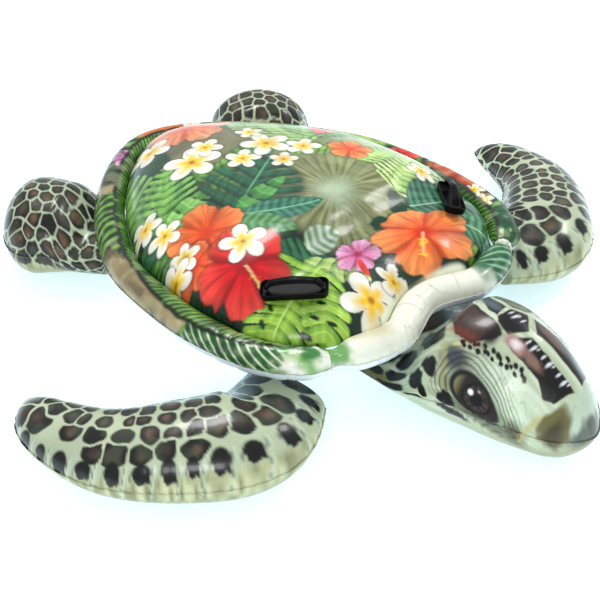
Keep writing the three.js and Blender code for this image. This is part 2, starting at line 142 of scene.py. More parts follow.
def noise(points, size, seed=0):
    """Smooth random field from -1 to 1 whose features are about `size` across."""
    places = np.asarray(points, float) / size + 0.37 * seed
    cells = np.floor(places).astype(np.int64)
    parts = places - cells
    parts = parts * parts * (3 - 2 * parts)
    primes = (73856093, 19349663, 83492791)
    total = 0
    for corner in itertools.product((0, 1), repeat=places.shape[-1]):
        key = seed * 9176 + 12345
        weight = 1
        for axis, step in enumerate(corner):
            key = key ^ ((cells[..., axis] + step) * primes[axis])
            weight = weight * (parts[..., axis] if step else 1 - parts[..., axis])
        key = (key ^ (key >> 13)) * 1274126177
        total = total + weight * (((key ^ (key >> 16)) & 0xFFFF) / 32767.5 - 1)
    return total


# ---------------------------------------------------------------- shell outline
OUTLINE = spline(
    [(x, y + SHELL_Y) for x, y in SHELL_OUTLINE]
    + [(-x, y + SHELL_Y) for x, y in SHELL_OUTLINE[-2:0:-1]], closed=True)
FINE = np.linspace(0, 1, 4001)
FINE_LENGTH = np.concatenate([[0], np.cumsum(np.linalg.norm(np.diff(OUTLINE(FINE), axis=0), axis=1))])
OUTLINE_LENGTH = FINE_LENGTH[-1]


def outline_at(share, inset):
    """Point of the outline moved inwards; the share runs anticlockwise from the front."""
    share = np.asarray(share, float)
    point = OUTLINE(share)
    tangent = OUTLINE(share + 1e-4) - OUTLINE(share - 1e-4)
    tangent = tangent / np.linalg.norm(tangent, axis=-1, keepdims=True)
    inset = np.asarray(inset, float)
    return np.stack([point[..., 0] - tangent[..., 1] * inset, point[..., 1] + tangent[..., 0] * inset], -1)


def share_at_length(part):
    return np.interp(part, FINE_LENGTH / OUTLINE_LENGTH, FINE)


def outline_share(place):
    target = np.array([place[0], place[1] + SHELL_Y])
    return FINE[np.argmin(np.linalg.norm(OUTLINE(FINE) - target, axis=1))]


PINCH_SHARE = outline_share(PINCH_AT)


# ---------------------------------------------------------------- meshes
def linear(colour):
    """Linear RGB of a colour written as an sRGB hex string."""
    values = np.array([int(colour[k:k + 2], 16) / 255 for k in (0, 2, 4)])
    return np.where(values <= 0.04045, values / 12.92, ((values + 0.055) / 1.055) ** 2.4)


def make_piece(name, points, faces, materials, colours=None, face_slots=None):
    mesh = bpy.data.meshes.new(name)
    mesh.from_pydata((np.asarray(points) * 0.001).tolist(), [], faces)
    mesh.update()
    for material in materials:
        mesh.materials.append(material)
    if face_slots is not None:
        mesh.polygons.foreach_set("material_index", np.asarray(face_slots, np.int32))
    if colours is not None:
        layer = mesh.color_attributes.new("print", "FLOAT_COLOR", "POINT")
        layer.data.foreach_set("color", np.column_stack([colours, np.ones(len(colours))]).ravel())
    mesh.polygons.foreach_set("use_smooth", np.ones(len(mesh.polygons), bool))
    piece = bpy.data.objects.new(name, mesh)
    bpy.context.scene.collection.objects.link(piece)
    return piece


def loop_faces(rows, columns, first=0):
    """Quads of a grid of rows that close on themselves, with both ends closed by a fan."""
    row, column = np.meshgrid(np.arange(rows - 1), np.arange(columns), indexing="ij")
    following = (column + 1) % columns
    corners = [row * columns + column, (row + 1) * columns + column,
               (row + 1) * columns + following, row * columns + following]
    quads = (np.stack(corners, -1).reshape(-1, 4) + first).tolist()
    start, end = first + rows * columns, first + rows * columns + 1
    last = first + (rows - 1) * columns
    fans = [[start, first + k, first + (k + 1) % columns] for k in range(columns)]
    fans += [[end, last + (k + 1) % columns, last + k] for k in range(columns)]
    return quads, fans


# Round a section: the upper sheet, the flange at the far seam, the lower sheet, the near flange.
def section_columns(upper, lower, far_flange=True):
    close = 0.012
    far = FLANGE if far_flange else 0.0
    angle = np.concatenate([
        np.linspace(close, math.pi - close, upper), [math.pi, math.pi],
        np.linspace(math.pi + close, 2 * math.pi - close, lower), [2 * math.pi, 2 * math.pi]])
    flange = np.concatenate([np.zeros(upper), [far, far], np.zeros(lower), [FLANGE, FLANGE]])
    lift = np.concatenate([
        np.zeros(upper), [FLANGE_HALF, -FLANGE_HALF], np.zeros(lower), [-FLANGE_HALF, FLANGE_HALF]])
    return angle, flange, lift


def add_flanges(points, angle, flange, lift):
    """Push the flange columns out from the seam, level, at right angles to the seam's edge."""
    for seam in (0.0, math.pi):
        near = np.isclose(np.cos(angle), math.cos(seam), atol=1e-6)
        edge = points[:, np.argmax(near)]
        tangent = np.gradient(edge[:, :2], axis=0)
        tangent /= np.linalg.norm(tangent, axis=1, keepdims=True) + 1e-9
        normal = np.stack([tangent[:, 1], -tangent[:, 0]], -1)
        outwards = edge[:, :2] - points[:, :, :2].mean(axis=1)
        side = np.sign(np.median((normal * outwards).sum(1)))
        for column in np.nonzero(near)[0]:
            points[:, column, :2] += side * normal * flange[column]
            points[:, column, 2] += lift[column]
    return points


def puckers(along, from_seam, spacing, depth, reach, seed):
    """Depth of the short creases that run away from a seam, where flat sheet was blown up round."""
    line = np.stack([along, np.zeros_like(along)], -1)
    phase = along / spacing + 0.6 * noise(line, 2.5 * spacing, seed)
    valley = 1 - np.abs(np.sin(math.pi * phase)) ** 0.6
    strength = np.clip(0.45 + 0.75 * noise(line, 5 * spacing, seed + 1), 0, 1)
    length = reach * (0.7 + 0.5 * noise(line, 1.5 * spacing, seed + 2))
    return depth * valley * strength * np.exp(-from_seam / length)


# ---------------------------------------------------------------- rim tube and collar
def rim_radius(share):
    def distance(to):
        return np.abs((share - to + 0.5) % 1 - 0.5) * OUTLINE_LENGTH
    nearest = np.minimum(distance(PINCH_SHARE), distance(1 - PINCH_SHARE))
    return RIM_RADIUS * (1 - PINCH_DEPTH * np.exp(-((nearest / PINCH_LENGTH) ** 2))), nearest


def rim_points(start, end, rows, upper, lower, seed):
    part = np.linspace(start, end, rows)
    share = share_at_length(part % 1.0)
    along = part * OUTLINE_LENGTH
    angle, flange, lift = section_columns(upper, lower, far_flange=False)
    radius, to_pinch = rim_radius(share)
    from_seam = RIM_RADIUS * np.minimum(angle, 2 * math.pi - angle)
    grid_along = np.repeat(along[:, None], len(angle), 1)
    dent = puckers(grid_along, from_seam[None], 26, 2.6, 20, seed)
    gathers = np.abs(np.cos(6 * angle + 1.3))[None] * np.exp(-to_pinch / 26)[:, None]
    wrinkle_places = np.stack([grid_along / 30, np.repeat(0.35 * angle[None], rows, 0)], -1)
    crease = 1 - np.abs(noise(wrinkle_places, 1.0, seed + 5))
    patchy = smooth_step(-0.2, 0.6, noise(np.stack([grid_along, grid_along], -1), 150, seed + 6))
    size = radius[:, None] - dent - 3.2 * gathers - 2.6 * patchy * crease ** 3
    level = outline_at(share[:, None], RIM_RADIUS - size * np.cos(angle) - flange)
    height = RIM_Z + size * np.sin(angle) + lift
    points = np.concatenate([level, height[..., None]], -1)
    ends = [np.append(outline_at(share[k], RIM_RADIUS), RIM_Z) for k in (0, -1)]
    return points, ends, grid_along


def tube_piece(name, points, ends, materials, colours, slots, mirror=False):
    """Closed tube through rows of points; slots gives the material of each column."""
    rows, columns = points.shape[:2]
    quads, fans = loop_faces(rows, columns)
    vertices = np.concatenate([points.reshape(-1, 3), ends])
    if mirror:
        vertices = vertices * (-1, 1, 1)
    faces = quads + fans
    if not mirror:
        faces = [face[::-1] for face in faces]
    face_slots = np.concatenate([np.tile(slots, rows - 1), slots, slots])
    ends_colours = np.stack([colours[0].mean(0), colours[-1].mean(0)])
    colours = np.concatenate([colours.reshape(-1, 3), ends_colours])
    return make_piece(name, vertices, faces, materials, colours, face_slots)


# ---------------------------------------------------------------- shell
def dome_height(y, share):
    from_crease = y - SHELL_Y - CREASE_Y
    lobe = FRONT_LOBE_HEIGHT + (REAR_LOBE_HEIGHT - FRONT_LOBE_HEIGHT) * smooth_step(
        -CREASE_WIDTH, CREASE_WIDTH, from_crease)
    bulge = np.sqrt(np.clip(1 - share ** DOME_POWER, 0, 1))
    crease = CREASE_DEPTH * np.exp(-((from_crease / CREASE_WIDTH) ** 2)) * (0.45 + 0.55 * share)
    return np.maximum(0, lobe - crease) * bulge


def belly_height(share):
    return RIM_Z * np.clip((share - BELLY_FLAT) / (1 - BELLY_FLAT), 0, 1) ** 1.15


def square_disc(cells):
    """Even grid over the unit disc: how far out and how far round each point lies."""
    line = np.linspace(-1, 1, cells + 1)
    a, b = np.meshgrid(line, line, indexing="ij")
    wide = np.abs(a) >= np.abs(b)
    safe_a, safe_b = np.where(a == 0, 1e-9, a), np.where(b == 0, 1e-9, b)
    turn = np.where(wide, b / safe_a, 2 - a / safe_b) * math.pi / 4
    out = np.where(wide, a, b)
    turn = np.where(out < 0, turn + math.pi, turn)
    return np.abs(out), (turn / (2 * math.pi)) % 1.0


ARC_SHARE = np.linspace(0, 1, 2001)
ARC = np.concatenate([[0], np.cumsum(np.hypot(
    DOME_REACH * np.diff(ARC_SHARE), DOME_RISE * np.diff(np.sqrt(1 - ARC_SHARE ** DOME_POWER))))])


def shell_points(cells, belly_rings):
    out, part = square_disc(cells)
    share = np.interp(out, ARC / ARC[-1], ARC_SHARE)
    edge = outline_at(share_at_length(part), 2 * RIM_RADIUS + GROOVE_GAP)
    centre = np.array([0, SHELL_Y])
    level = centre + (edge - centre) * share[..., None]
    inwards = (1 - out) * ARC[-1]
    dent = puckers(part * OUTLINE_LENGTH, inwards, 34, 9, 34, 61) * smooth_step(0, 12, inwards)
    height = RIM_Z + np.maximum(dome_height(level[..., 1], share) - dent, 0)
    top = np.concatenate([level, height[..., None]], -1)
    index = np.arange(top.shape[0] * top.shape[1]).reshape(top.shape[:2])
    quads = np.stack([index[:-1, :-1], index[1:, :-1], index[1:, 1:], index[:-1, 1:]], -1).reshape(-1, 4)
    around = np.concatenate([index[0, :-1], index[:-1, -1], index[-1, :0:-1], index[:0:-1, 0]])
    points, faces = [top.reshape(-1, 3)], quads.tolist()
    edge_level = top.reshape(-1, 3)[around, :2]
    before = around
    count = top.shape[0] * top.shape[1]
    for ring_share in belly_rings:
        ring = centre + (edge_level - centre) * ring_share
        height = np.full(len(ring), belly_height(ring_share))
        points.append(np.column_stack([ring, height]))
        this = count + np.arange(len(ring))
        faces += np.stack([before, this, np.roll(this, -1), np.roll(before, -1)], -1).tolist()
        before, count = this, count + len(ring)
    points.append([[*centre, 0]])
    faces += [[a, count, b] for a, b in zip(before.tolist(), np.roll(before, -1).tolist())]
    return np.concatenate(points), faces, len(quads)


# ---------------------------------------------------------------- tapering chambers
def tip_share(along, tip_round):
    left = np.minimum((1 - along) / tip_round, 1)
    return np.sqrt(np.clip(1 - (1 - left) ** 2, 0, 1))


def chamber_points(rows, upper, lower, section, seed):
    """Rows of points round a tapering chamber, with the distance along it and across from its crest."""
    along = 1 - (1 - np.linspace(0, 1, rows)) ** 1.8
    centre, across, width, rise, fall, peak = section(along)
    angle, flange, lift = section_columns(upper, lower)
    walk = np.concatenate([[0], np.cumsum(np.linalg.norm(np.diff(centre[:, :2], axis=0), axis=1))])
    grid_walk = np.repeat(walk[:, None], len(angle), 1)
    mean_radius = (width + rise)[:, None] / 2
    from_seam = mean_radius * np.abs(np.arcsin(np.clip(np.sin(angle), -1, 1)))[None]
    dent = puckers(grid_walk + 400 * (np.cos(angle) < 0), from_seam, 21, 4.6, 30, seed)
    dent = dent * np.minimum(1, mean_radius / 40)
    points = np.empty((rows, len(angle), 3))
    sideways = (width[:, None] - dent) * np.cos(angle)
    points[..., :2] = centre[:, None, :2] + across[:, None] * sideways[..., None]
    upper_lift = (rise[:, None] - dent) * np.clip(np.sin(angle), 0, 1) ** peak
    lower_lift = (fall[:, None] - dent) * np.clip(np.sin(angle), -1, 0)
    points[..., 2] = centre[:, None, 2] + upper_lift + lower_lift
    points = add_flanges(points, angle, flange, lift)
    turned = np.where(angle > 1.5 * math.pi, angle - 2 * math.pi, angle)
    across_walk = mean_radius * (math.pi / 2 - turned)[None]
    ends = [points[0].mean(0), points[-1].mean(0)]
    return points, ends, grid_walk, across_walk, angle


def flipper_section(shape):
    spine = spline([(x, y + SHELL_Y) for x, y in shape["spine"]])
    half_width = blend_values(shape["half_widths"])

    def section(along):
        free = smooth_step(*shape["press"], along)
        tangent = spine(along + 1e-4) - spine(along - 1e-4)
        tangent /= np.linalg.norm(tangent, axis=-1, keepdims=True)
        width = half_width(along) * tip_share(along, shape["tip_round"])
        press = shape["root_press"] + (1 - shape["root_press"]) * free
        middle = shape["root_middle"] + (shape["middle"] - shape["root_middle"]) * free
        centre = np.concatenate([spine(along), middle[:, None]], -1)
        across = np.stack([tangent[:, 1], -tangent[:, 0]], -1)
        height = width * shape["thickness"] * press
        return centre, across, width, height, height, 1.0
    return section


def head_section(along):
    y, half_width, rise, fall, middle = (
        blend_values(HEAD[key])(along) for key in ("ys", "half_widths", "rises", "falls", "middles"))
    tip = tip_share(along, HEAD["nose_round"])
    centre = np.stack([np.zeros_like(y), y + SHELL_Y, middle], -1)
    across = np.tile([-1.0, 0.0], (len(along), 1))
    return centre, across, half_width * tip, rise * tip, fall * tip, HEAD["peak"]


# ---------------------------------------------------------------- painting
class Print:
    """Colours laid over the points of a piece, in the flat coordinates of its sheet."""

    def __init__(self, places, ground):
        self.shape = places.shape[:-1]
        self.places = places.reshape(-1, 2)
        self.colours = np.tile(linear(ground), (len(self.places), 1))

    def near(self, x, y, reach, turn=0.0, stretch=(1.0, 1.0)):
        """Points within reach of a place, and their coordinates in a frame turned about it."""
        offset = self.places - (x, y)
        chosen = np.nonzero(np.abs(offset).max(axis=1) < reach)[0]
        offset = offset[chosen]
        cosine, sine = math.cos(math.radians(turn)), math.sin(math.radians(turn))
        u = (offset[:, 0] * cosine + offset[:, 1] * sine) / stretch[0]
        v = (offset[:, 1] * cosine - offset[:, 0] * sine) / stretch[1]
        return chosen, u, v

    def lay(self, chosen, strength, colour):
        """Cover the chosen points with a colour, as strongly as given."""
        strength = np.clip(np.asarray(strength, float), 0, 1)[:, None]
        colour = linear(colour) if isinstance(colour, str) else colour
        self.colours[chosen] = self.colours[chosen] * (1 - strength) + colour * strength

    def mottle(self, size, low, high, seed):
        """Uneven ink: darker and lighter patches."""
        field = noise(self.places, size, seed)[:, None]
        self.colours *= low + (high - low) * (field + 1) / 2

    def grid(self, depth=1.0):
        """Colours in the shape of the points; a depth above one makes the ink deeper."""
        return (self.colours ** depth).reshape(*self.shape, 3)


def mixed(first, second, share):
    """Colours between two, one for each share."""
    share = np.clip(share, 0, 1)[:, None]
    return linear(first) * (1 - share) + linear(second) * share


def plumeria(sheet, x, y, size, turn=0, stretch=(1, 1)):
    chosen, u, v = sheet.near(x, y, 1.6 * size, turn, stretch)
    radius, angle = np.hypot(u, v), np.arctan2(v, u)
    petal = (angle * 5 / (2 * math.pi) + 0.10 * radius / size) % 1 - 0.5
    edge = size * (0.3 + 0.7 * np.abs(np.cos(math.pi * petal)) ** 0.62)
    sheet.lay(chosen, 0.55 * smooth_step(edge + 9, edge - 2, radius), "26332a")
    white = mixed("f1efe4", "b9beb2", smooth_step(0.15, 0.5, petal) * smooth_step(0.3, 1.0, radius / size))
    body = smooth_step(edge + 1, edge - 2.5, radius)
    sheet.lay(chosen, body, white)
    blush = radius / size + 0.5 * np.abs(petal)
    sheet.lay(chosen, body * smooth_step(0.82, 0.25, blush), "efc92c")
    sheet.lay(chosen, 0.9 * smooth_step(0.16, 0.05, radius / size), "b87a14")


def hibiscus(sheet, x, y, size, throat, petal_colour, edge_colour, turn=0, stretch=(1, 1), pistil=None):
    chosen, u, v = sheet.near(x, y, 1.7 * size * max(stretch), turn, stretch)
    radius, angle = np.hypot(u, v), np.arctan2(v, u)
    ray = np.stack([np.cos(angle), np.sin(angle)], -1)
    petal = (angle * 5 / (2 * math.pi) + 0.12 * radius / size) % 1 - 0.5
    ruffle = 0.08 * noise(ray * size, 0.16 * size, 3)
    edge = size * (0.74 + 0.26 * np.abs(np.cos(math.pi * petal)) ** 0.6 + ruffle)
    share = radius / size
    sheet.lay(chosen, 0.5 * smooth_step(edge + 10, edge - 2, radius), "1d2a20")
    tone = mixed(petal_colour, edge_colour, smooth_step(0.25, 1.05, share))
    tone *= (0.92 + 0.3 * noise(np.column_stack([ray * 40, radius / 14]), 2.6, 5))[:, None]
    tone *= (1 - 0.35 * smooth_step(0.1, 0.5, petal))[:, None]
    body = smooth_step(edge + 1, edge - 3, radius)
    sheet.lay(chosen, body, tone)
    fold = smooth_step(0.36, 0.49, np.abs(petal)) * smooth_step(0.1, 0.5, share)
    sheet.lay(chosen, 0.6 * body * fold, throat)
    sheet.lay(chosen, body * smooth_step(0.34, 0.06, share), throat)
    if pistil:
        far = np.hypot(*pistil)
        along = (u * pistil[0] + v * pistil[1]) / far
        across = np.abs(u * pistil[1] - v * pistil[0]) / far
        stalk = smooth_step(5, 2, across) * (along > 0) * (along < far)
        sheet.lay(chosen, 0.8 * stalk, "f0c9a0")
        dots = smooth_step(0.2, 0.5, noise(np.stack([u, v], -1), 5, 9)) * smooth_step(14, 7, across)
        sheet.lay(chosen, dots * (along > 0.35 * far) * (along < 1.15 * far), "f4cf45")


def leaf(sheet, base, tip, width, dark, light,
         fingers=0, gap=0.0, sweep=0.35, bend=0.0, rib=None, point=0.75):
    """Leaf from base to tip.  Fingers are parted by gaps that lean forward; without them it is whole."""
    base, tip = np.array(base, float), np.array(tip, float)
    length = np.linalg.norm(tip - base)
    turn = math.degrees(math.atan2(tip[1] - base[1], tip[0] - base[0]))
    middle = (base + tip) / 2
    chosen, u, v = sheet.near(*middle, length / 2 + width + abs(bend), turn)
    along = u / length + 0.5
    inside = np.clip(along, 0, 1)
    across = v - bend * 4 * inside * (1 - inside)
    half = width * np.sin(math.pi * inside ** point) ** 0.7 + 1e-3
    share = np.abs(across) / half
    body = smooth_step(1.0, 1.0 - 4 / width, share) * (along > 0) * (along < 1)
    shade = noise(np.column_stack([u / 60, across / 9]), 1.0, 12) * 0.25
    if fingers:
        phase = inside * fingers - sweep * fingers * share * half / length
        place = np.abs((phase % 1) - 0.5) * 2
        gap_here = gap * (0.4 + 1.5 * share)
        body *= 1 - smooth_step(1 - gap_here - 0.1, 1 - gap_here, place) * smooth_step(0.1, 0.35, share)
        body *= smooth_step(1.0, 0.92, share + 0.16 * place ** 2)
        shade = shade + 0.15 + 0.7 * (phase % 1) + 0.4 * smooth_step(0.16, 0.02, place)
    else:
        shade = shade + 0.35 + 0.3 * np.sin(2 * math.pi * (inside * length / 22 - share * 0.8))
    sheet.lay(chosen, 0.4 * smooth_step(1.12, 0.9, share) * (along > -0.02) * (along < 1.02), "17261c")
    sheet.lay(chosen, body, mixed(dark, light, shade))
    if rib:
        sheet.lay(chosen, smooth_step(3.2, 1.2, np.abs(across)) * (along > 0) * (along < 0.95), rib)


def patch(sheet, x, y, size, colour, turn=0, strength=1.0, soft=0.35):
    """Soft-edged oval of ink."""
    chosen, u, v = sheet.near(x, y, 1.6 * max(size), turn, size)
    wobble = 0.18 * noise(np.stack([u, v], -1), 0.45, int(abs(x)) % 17)
    sheet.lay(chosen, strength * smooth_step(1 + soft, 1 - soft, np.hypot(u, v) + wobble), colour)


def palm_fan(sheet, x, y, reach, dark, light, centre, ribs=26):
    """Round palm leaf seen from above: pale heart and folded ribs."""
    chosen, u, v = sheet.near(x, y, 1.2 * reach)
    radius, angle = np.hypot(u, v), np.arctan2(v, u)
    fold = np.abs(np.sin(angle * ribs / 2 + 0.4 * noise(np.stack([u, v], -1), 90, 4)))
    fine = noise(np.column_stack([angle * 30, radius / 40]), 1.0, 6)
    body = smooth_step(1.05, 0.85, radius / reach + 0.06 * fine)
    sheet.lay(chosen, 0.9 * body, mixed(dark, light, 0.1 + 0.6 * fold + 0.5 * fine))
    sheet.lay(chosen, 0.8 * body * smooth_step(0.5, 0.05, radius / reach), centre)


def cells(sheet, seeds, border, seed):
    """Skin scales: dark cells with brown hearts, parted by pale lines."""
    sway = np.stack([noise(sheet.places, 22, seed), noise(sheet.places, 22, seed + 1)], -1)
    places = sheet.places + 5 * sway
    nearest = np.full(len(places), 9.0)
    second = np.full(len(places), 9.0)
    size = np.full(len(places), 20.0)
    tone = np.zeros(len(places))
    for x, y, wide, high, brown in seeds:
        distance = np.hypot((places[:, 0] - x) / wide, (places[:, 1] - y) / high)
        closer = distance < nearest
        second = np.where(closer, nearest, np.minimum(second, distance))
        size = np.where(closer, min(wide, high), size)
        tone = np.where(closer, brown, tone)
        nearest = np.where(closer, distance, nearest)
    apart = (second - nearest) * size
    inside = smooth_step(border * 0.5, border * 0.5 + 3.5, apart)
    inside = inside * smooth_step(1.34, 1.34 - 3.5 / size, nearest)
    everywhere = np.arange(len(places))
    sheet.lay(everywhere, inside, "23251f")
    heart = np.clip(tone, 0, 1) * smooth_step(0.95, 0.2, nearest)
    heart = heart * (0.8 + 0.4 * noise(places, 12, seed + 2))
    sheet.lay(everywhere, inside * heart, "846a55")
    grey = smooth_step(-0.1, 0.7, noise(places, 24, seed + 3)) * 0.4
    sheet.lay(everywhere, inside * grey, "66705f")


def stripes(sheet, start, end, low, high, pitch, dark, light, lean=0.4, sharp=1.3):
    """Ribbed band between two places along the sheet; a high sharpness leaves only thin pale ribs."""
    x, y = sheet.places.T
    chosen = np.nonzero((x > start - 20) & (x < end + 20) & (y > low - 5) & (y < high + 5))[0]
    x, y = x[chosen], y[chosen]
    places = np.stack([x, y], -1)
    wave = 0.5 + 0.5 * np.sin(2 * math.pi * ((x + lean * y) / pitch + 0.35 * noise(places, 70, 8)))
    ragged = 24 * noise(places, 40, 14)
    edge = smooth_step(start - 6, start + 6, x + ragged) * smooth_step(end + 6, end - 6, x + ragged)
    sheet.lay(chosen, edge, mixed(dark, light, wave ** sharp + 0.2 * noise(places, 12, 15)))


def inside_polygon(places, corners):
    """Signed distance to a closed outline, positive inside."""
    corners = np.asarray(corners, float)
    following = np.roll(corners, -1, axis=0)
    inside = np.zeros(len(places), bool)
    distance = np.full(len(places), 1e9)
    for (x0, y0), (x1, y1) in zip(corners, following):
        edge = np.array([x1 - x0, y1 - y0])
        offset = places - (x0, y0)
        share = np.clip(offset @ edge / (edge @ edge), 0, 1)
        distance = np.minimum(distance, np.linalg.norm(offset - share[:, None] * edge, axis=1))
        crossing = (y0 > places[:, 1]) != (y1 > places[:, 1])
        if y1 != y0:
            inside ^= crossing & (places[:, 0] < x0 + (places[:, 1] - y0) * (x1 - x0) / (y1 - y0))
    return np.where(inside, distance, -distance)


# ---------------------------------------------------------------- prints
def shell_leaves(sheet):
    patch(sheet, 0, 150, (190, 330), "8a8a6c", strength=0.95, soft=0.2)
    patch(sheet, 40, 60, (130, 110), "8e9870", strength=0.9)
    patch(sheet, -110, 380, (80, 60), "77735f")
    patch(sheet, 330, 0, (130, 230), "b9c79c", strength=0.9)
    patch(sheet, 130, 400, (90, 70), "4c5c50", 40)
    leaf_rng = np.random.default_rng(23)
    for index in range(46):
        base = leaf_rng.uniform((-430, -440), (430, 560))
        turn = leaf_rng.uniform(0, 2 * math.pi)
        reach = leaf_rng.uniform(110, 210)
        dark, light = (("2a5a34", "83b85a"), ("1f4a36", "4f9068"), ("3c6f2e", "a8cc66"))[index % 3]
        if math.hypot(base[0] - 20, (base[1] - 60) / 1.9) > 140:
            tip = base + reach * np.array([math.cos(turn), math.sin(turn)])
            leaf(sheet, base, tip, 0.28 * reach, dark, light, fingers=7, gap=0.14, sweep=0.6)
    palm_fan(sheet, 20, -125, 185, "74764f", "a9ae84", "b9c9b0", ribs=34)
    leaf(sheet, (-235, 250), (-110, 575), 62, "1c4a35", "3d7a5a")
    leaf(sheet, (-355, 150), (-225, 500), 85, "3f7a34", "a8d67c", fingers=9, gap=0.2, sweep=0.8)
    leaf(sheet, (-330, 115), (-170, 310), 88, "3a7434", "9fd074", fingers=8, gap=0.24, sweep=0.7)
    leaf(sheet, (-345, 80), (-180, 110), 46, "4c8c3c", "a9d884", fingers=3, gap=0.1, sweep=0.3)
    leaf(sheet, (60, 355), (190, 400), 44, "2a5a48", "54866e")
    leaf(sheet, (150, 100), (215, 500), 130, "5d9448", "c9e2a0", fingers=15, gap=0.16, sweep=0.9)
    leaf(sheet, (180, 120), (330, 330), 70, "558c44", "b4d78a", fingers=9, gap=0.2, sweep=0.9)
    leaf(sheet, (-215, -20), (30, 110), 140, "17402f", "3c7a5c", fingers=6, gap=0.16, sweep=0.5,
         rib="79b98a")
    leaf(sheet, (-215, -25), (-25, 5), 34, "2d6a42", "78b96a", fingers=3, gap=0.06)
    leaf(sheet, (-205, -40), (-30, -135), 44, "2a6552", "5f9f84", bend=-14, rib="8fc4a4")
    leaf(sheet, (-245, -40), (-150, -170), 40, "3c7a4c", "8ab680")
    leaf(sheet, (-165, -215), (-60, -215), 34, "6f8f62", "e2ece2")
    leaf(sheet, (-205, -235), (-110, -375), 46, "6f9c44", "d3e69c", fingers=5, gap=0.06)
    leaf(sheet, (-175, -270), (-440, -335), 130, "5f9a30", "c4e66c", fingers=12, gap=0.1, sweep=0.25,
         rib="d4ec90")
    leaf(sheet, (-215, -330), (-330, -440), 60, "6aa636", "cbe878", fingers=6, gap=0.08)
    for x, y, turn in ((-300, -262, 70), (-335, -270, 70), (-370, -280, 70), (-250, -350, -50),
                       (-285, -362, -55), (-322, -372, -60), (-358, -372, -60),
                       (-262, -395, -50), (-395, -300, 70)):
        patch(sheet, x, y, (13, 4.5), "1f3a1c", turn, soft=0.2)
    for x, y, size in ((55, -250, 26), (95, -262, 24), (135, -235, 26), (150, -210, 20)):
        patch(sheet, x, y, (size, size * 0.85), "1d4a35", strength=1, soft=0.12)
    leaf(sheet, (165, -200), (400, -90), 90, "79b04c", "e0eeb2", fingers=13, gap=0.2, sweep=0.7)
    leaf(sheet, (170, -60), (330, -50), 50, "8abf55", "d5e8a4", fingers=8, gap=0.2, sweep=0.5)
    leaf(sheet, (170, -245), (410, -330), 92, "235842", "6fa888", rib="a9d0ae")
    leaf(sheet, (215, -350), (340, -440), 48, "2c6a4a", "7fb98f", rib="b4d8b4")
    leaf(sheet, (380, 60), (300, 330), 46, "2f6a3c", "8cc068", fingers=7, gap=0.2)


def shell_flowers(sheet):
    hibiscus(sheet, 10, 450, 130, "d8542c", "ee8a54", "f4b890", turn=20, stretch=(1.0, 1.0))
    hibiscus(sheet, 205, 0, 62, "d6481e", "f07c3a", "f6a868", turn=10)
    hibiscus(sheet, 290, 185, 70, "b51c26", "dc3a3a", "f08078", turn=38, stretch=(1.4, 0.6))
    hibiscus(sheet, -300, -10, 100, "cc4a20", "ec6c34", "f49a5c", turn=35)
    hibiscus(sheet, -370, -50, 60, "d04a24", "ee6a3c", "f28a5c", turn=80)
    hibiscus(sheet, -310, -160, 110, "a8101c", "d8202a", "ee5a4c", turn=52, pistil=(-70, -46))
    hibiscus(sheet, 110, -340, 120, "d03a1a", "f47a40", "faaa6a", turn=-20, stretch=(1.2, 0.78),
             pistil=(-20, -62))
    hibiscus(sheet, -80, -300, 70, "b02a5a", "dc86b4", "f0bcd8", turn=14, stretch=(1.05, 0.72))
    patch(sheet, -102, -340, (9, 26), "e2503c", -20, soft=0.15)
    for x, y, size, turn in (
            (-130, 250, 80, 20), (-130, 440, 65, 50), (-60, 280, 50, 60), (-40, 150, 50, 10),
            (60, 170, 70, 40), (120, 90, 50, 75), (30, 70, 40, 10), (80, 260, 40, 30),
            (-350, 170, 45, 65), (-350, 90, 45, 40),
            (-370, -10, 40, 20), (-410, -20, 45, 50), (-270, -110, 60, 30), (-150, -410, 75, 50),
            (-50, -390, 45, 20), (300, -170, 40, 45), (330, 330, 40, 10), (400, -90, 35, 60)):
        plumeria(sheet, x, y, size, turn)


def shell_print(places):
    """Jungle print of the shell, in millimetres about the shell's centre."""
    sheet = Print(places, "24402f")
    sheet.mottle(60, 0.7, 1.5, 1)
    shell_leaves(sheet)
    shell_flowers(sheet)
    sheet.mottle(26, 0.85, 1.12, 3)
    sheet.mottle(120, 0.92, 1.08, 2)
    x, y = sheet.places.T
    everywhere = np.arange(len(x))
    sheet.lay(everywhere, smooth_step(-398, -408, y + 0.0018 * x ** 2), "eceedd")
    return sheet.grid(1.22)


# How far round the tube its own print reaches, along the rim; the dome's leaves carry on behind it.
SHOULDER = [(0, 88), (1900, 72), (2220, 80), (2320, 78), (2520, 70), (2650, 50), (2770, 40), (2860, 42),
            (3000, 62), (3200, 88)]


def rim_shoulder(sheet):
    """Leaves on the inner side of the tube, and before them a dark line of painted shade that stands for
    the groove.
    """
    x, y = sheet.places.T
    everywhere = np.arange(len(x))
    past = y - np.interp(x, *zip(*SHOULDER)) - 3 * noise(sheet.places, 30, 31)
    inner = smooth_step(-3, 1, past)
    fern = 0.5 + 0.5 * np.sin(2 * math.pi * ((x - 0.7 * y) / 19 + 0.5 * noise(sheet.places, 60, 32)))
    tone = mixed("1f4a24", "8cc058", fern * (0.65 + 0.5 * noise(sheet.places, 90, 33)))
    sheet.lay(everywhere, inner * (y < 200), tone)
    # painted shade: near-black line standing for the shaded groove between tube and dome
    sheet.lay(everywhere, 0.9 * smooth_step(9, 2, np.abs(past - 1)), "0d140c")


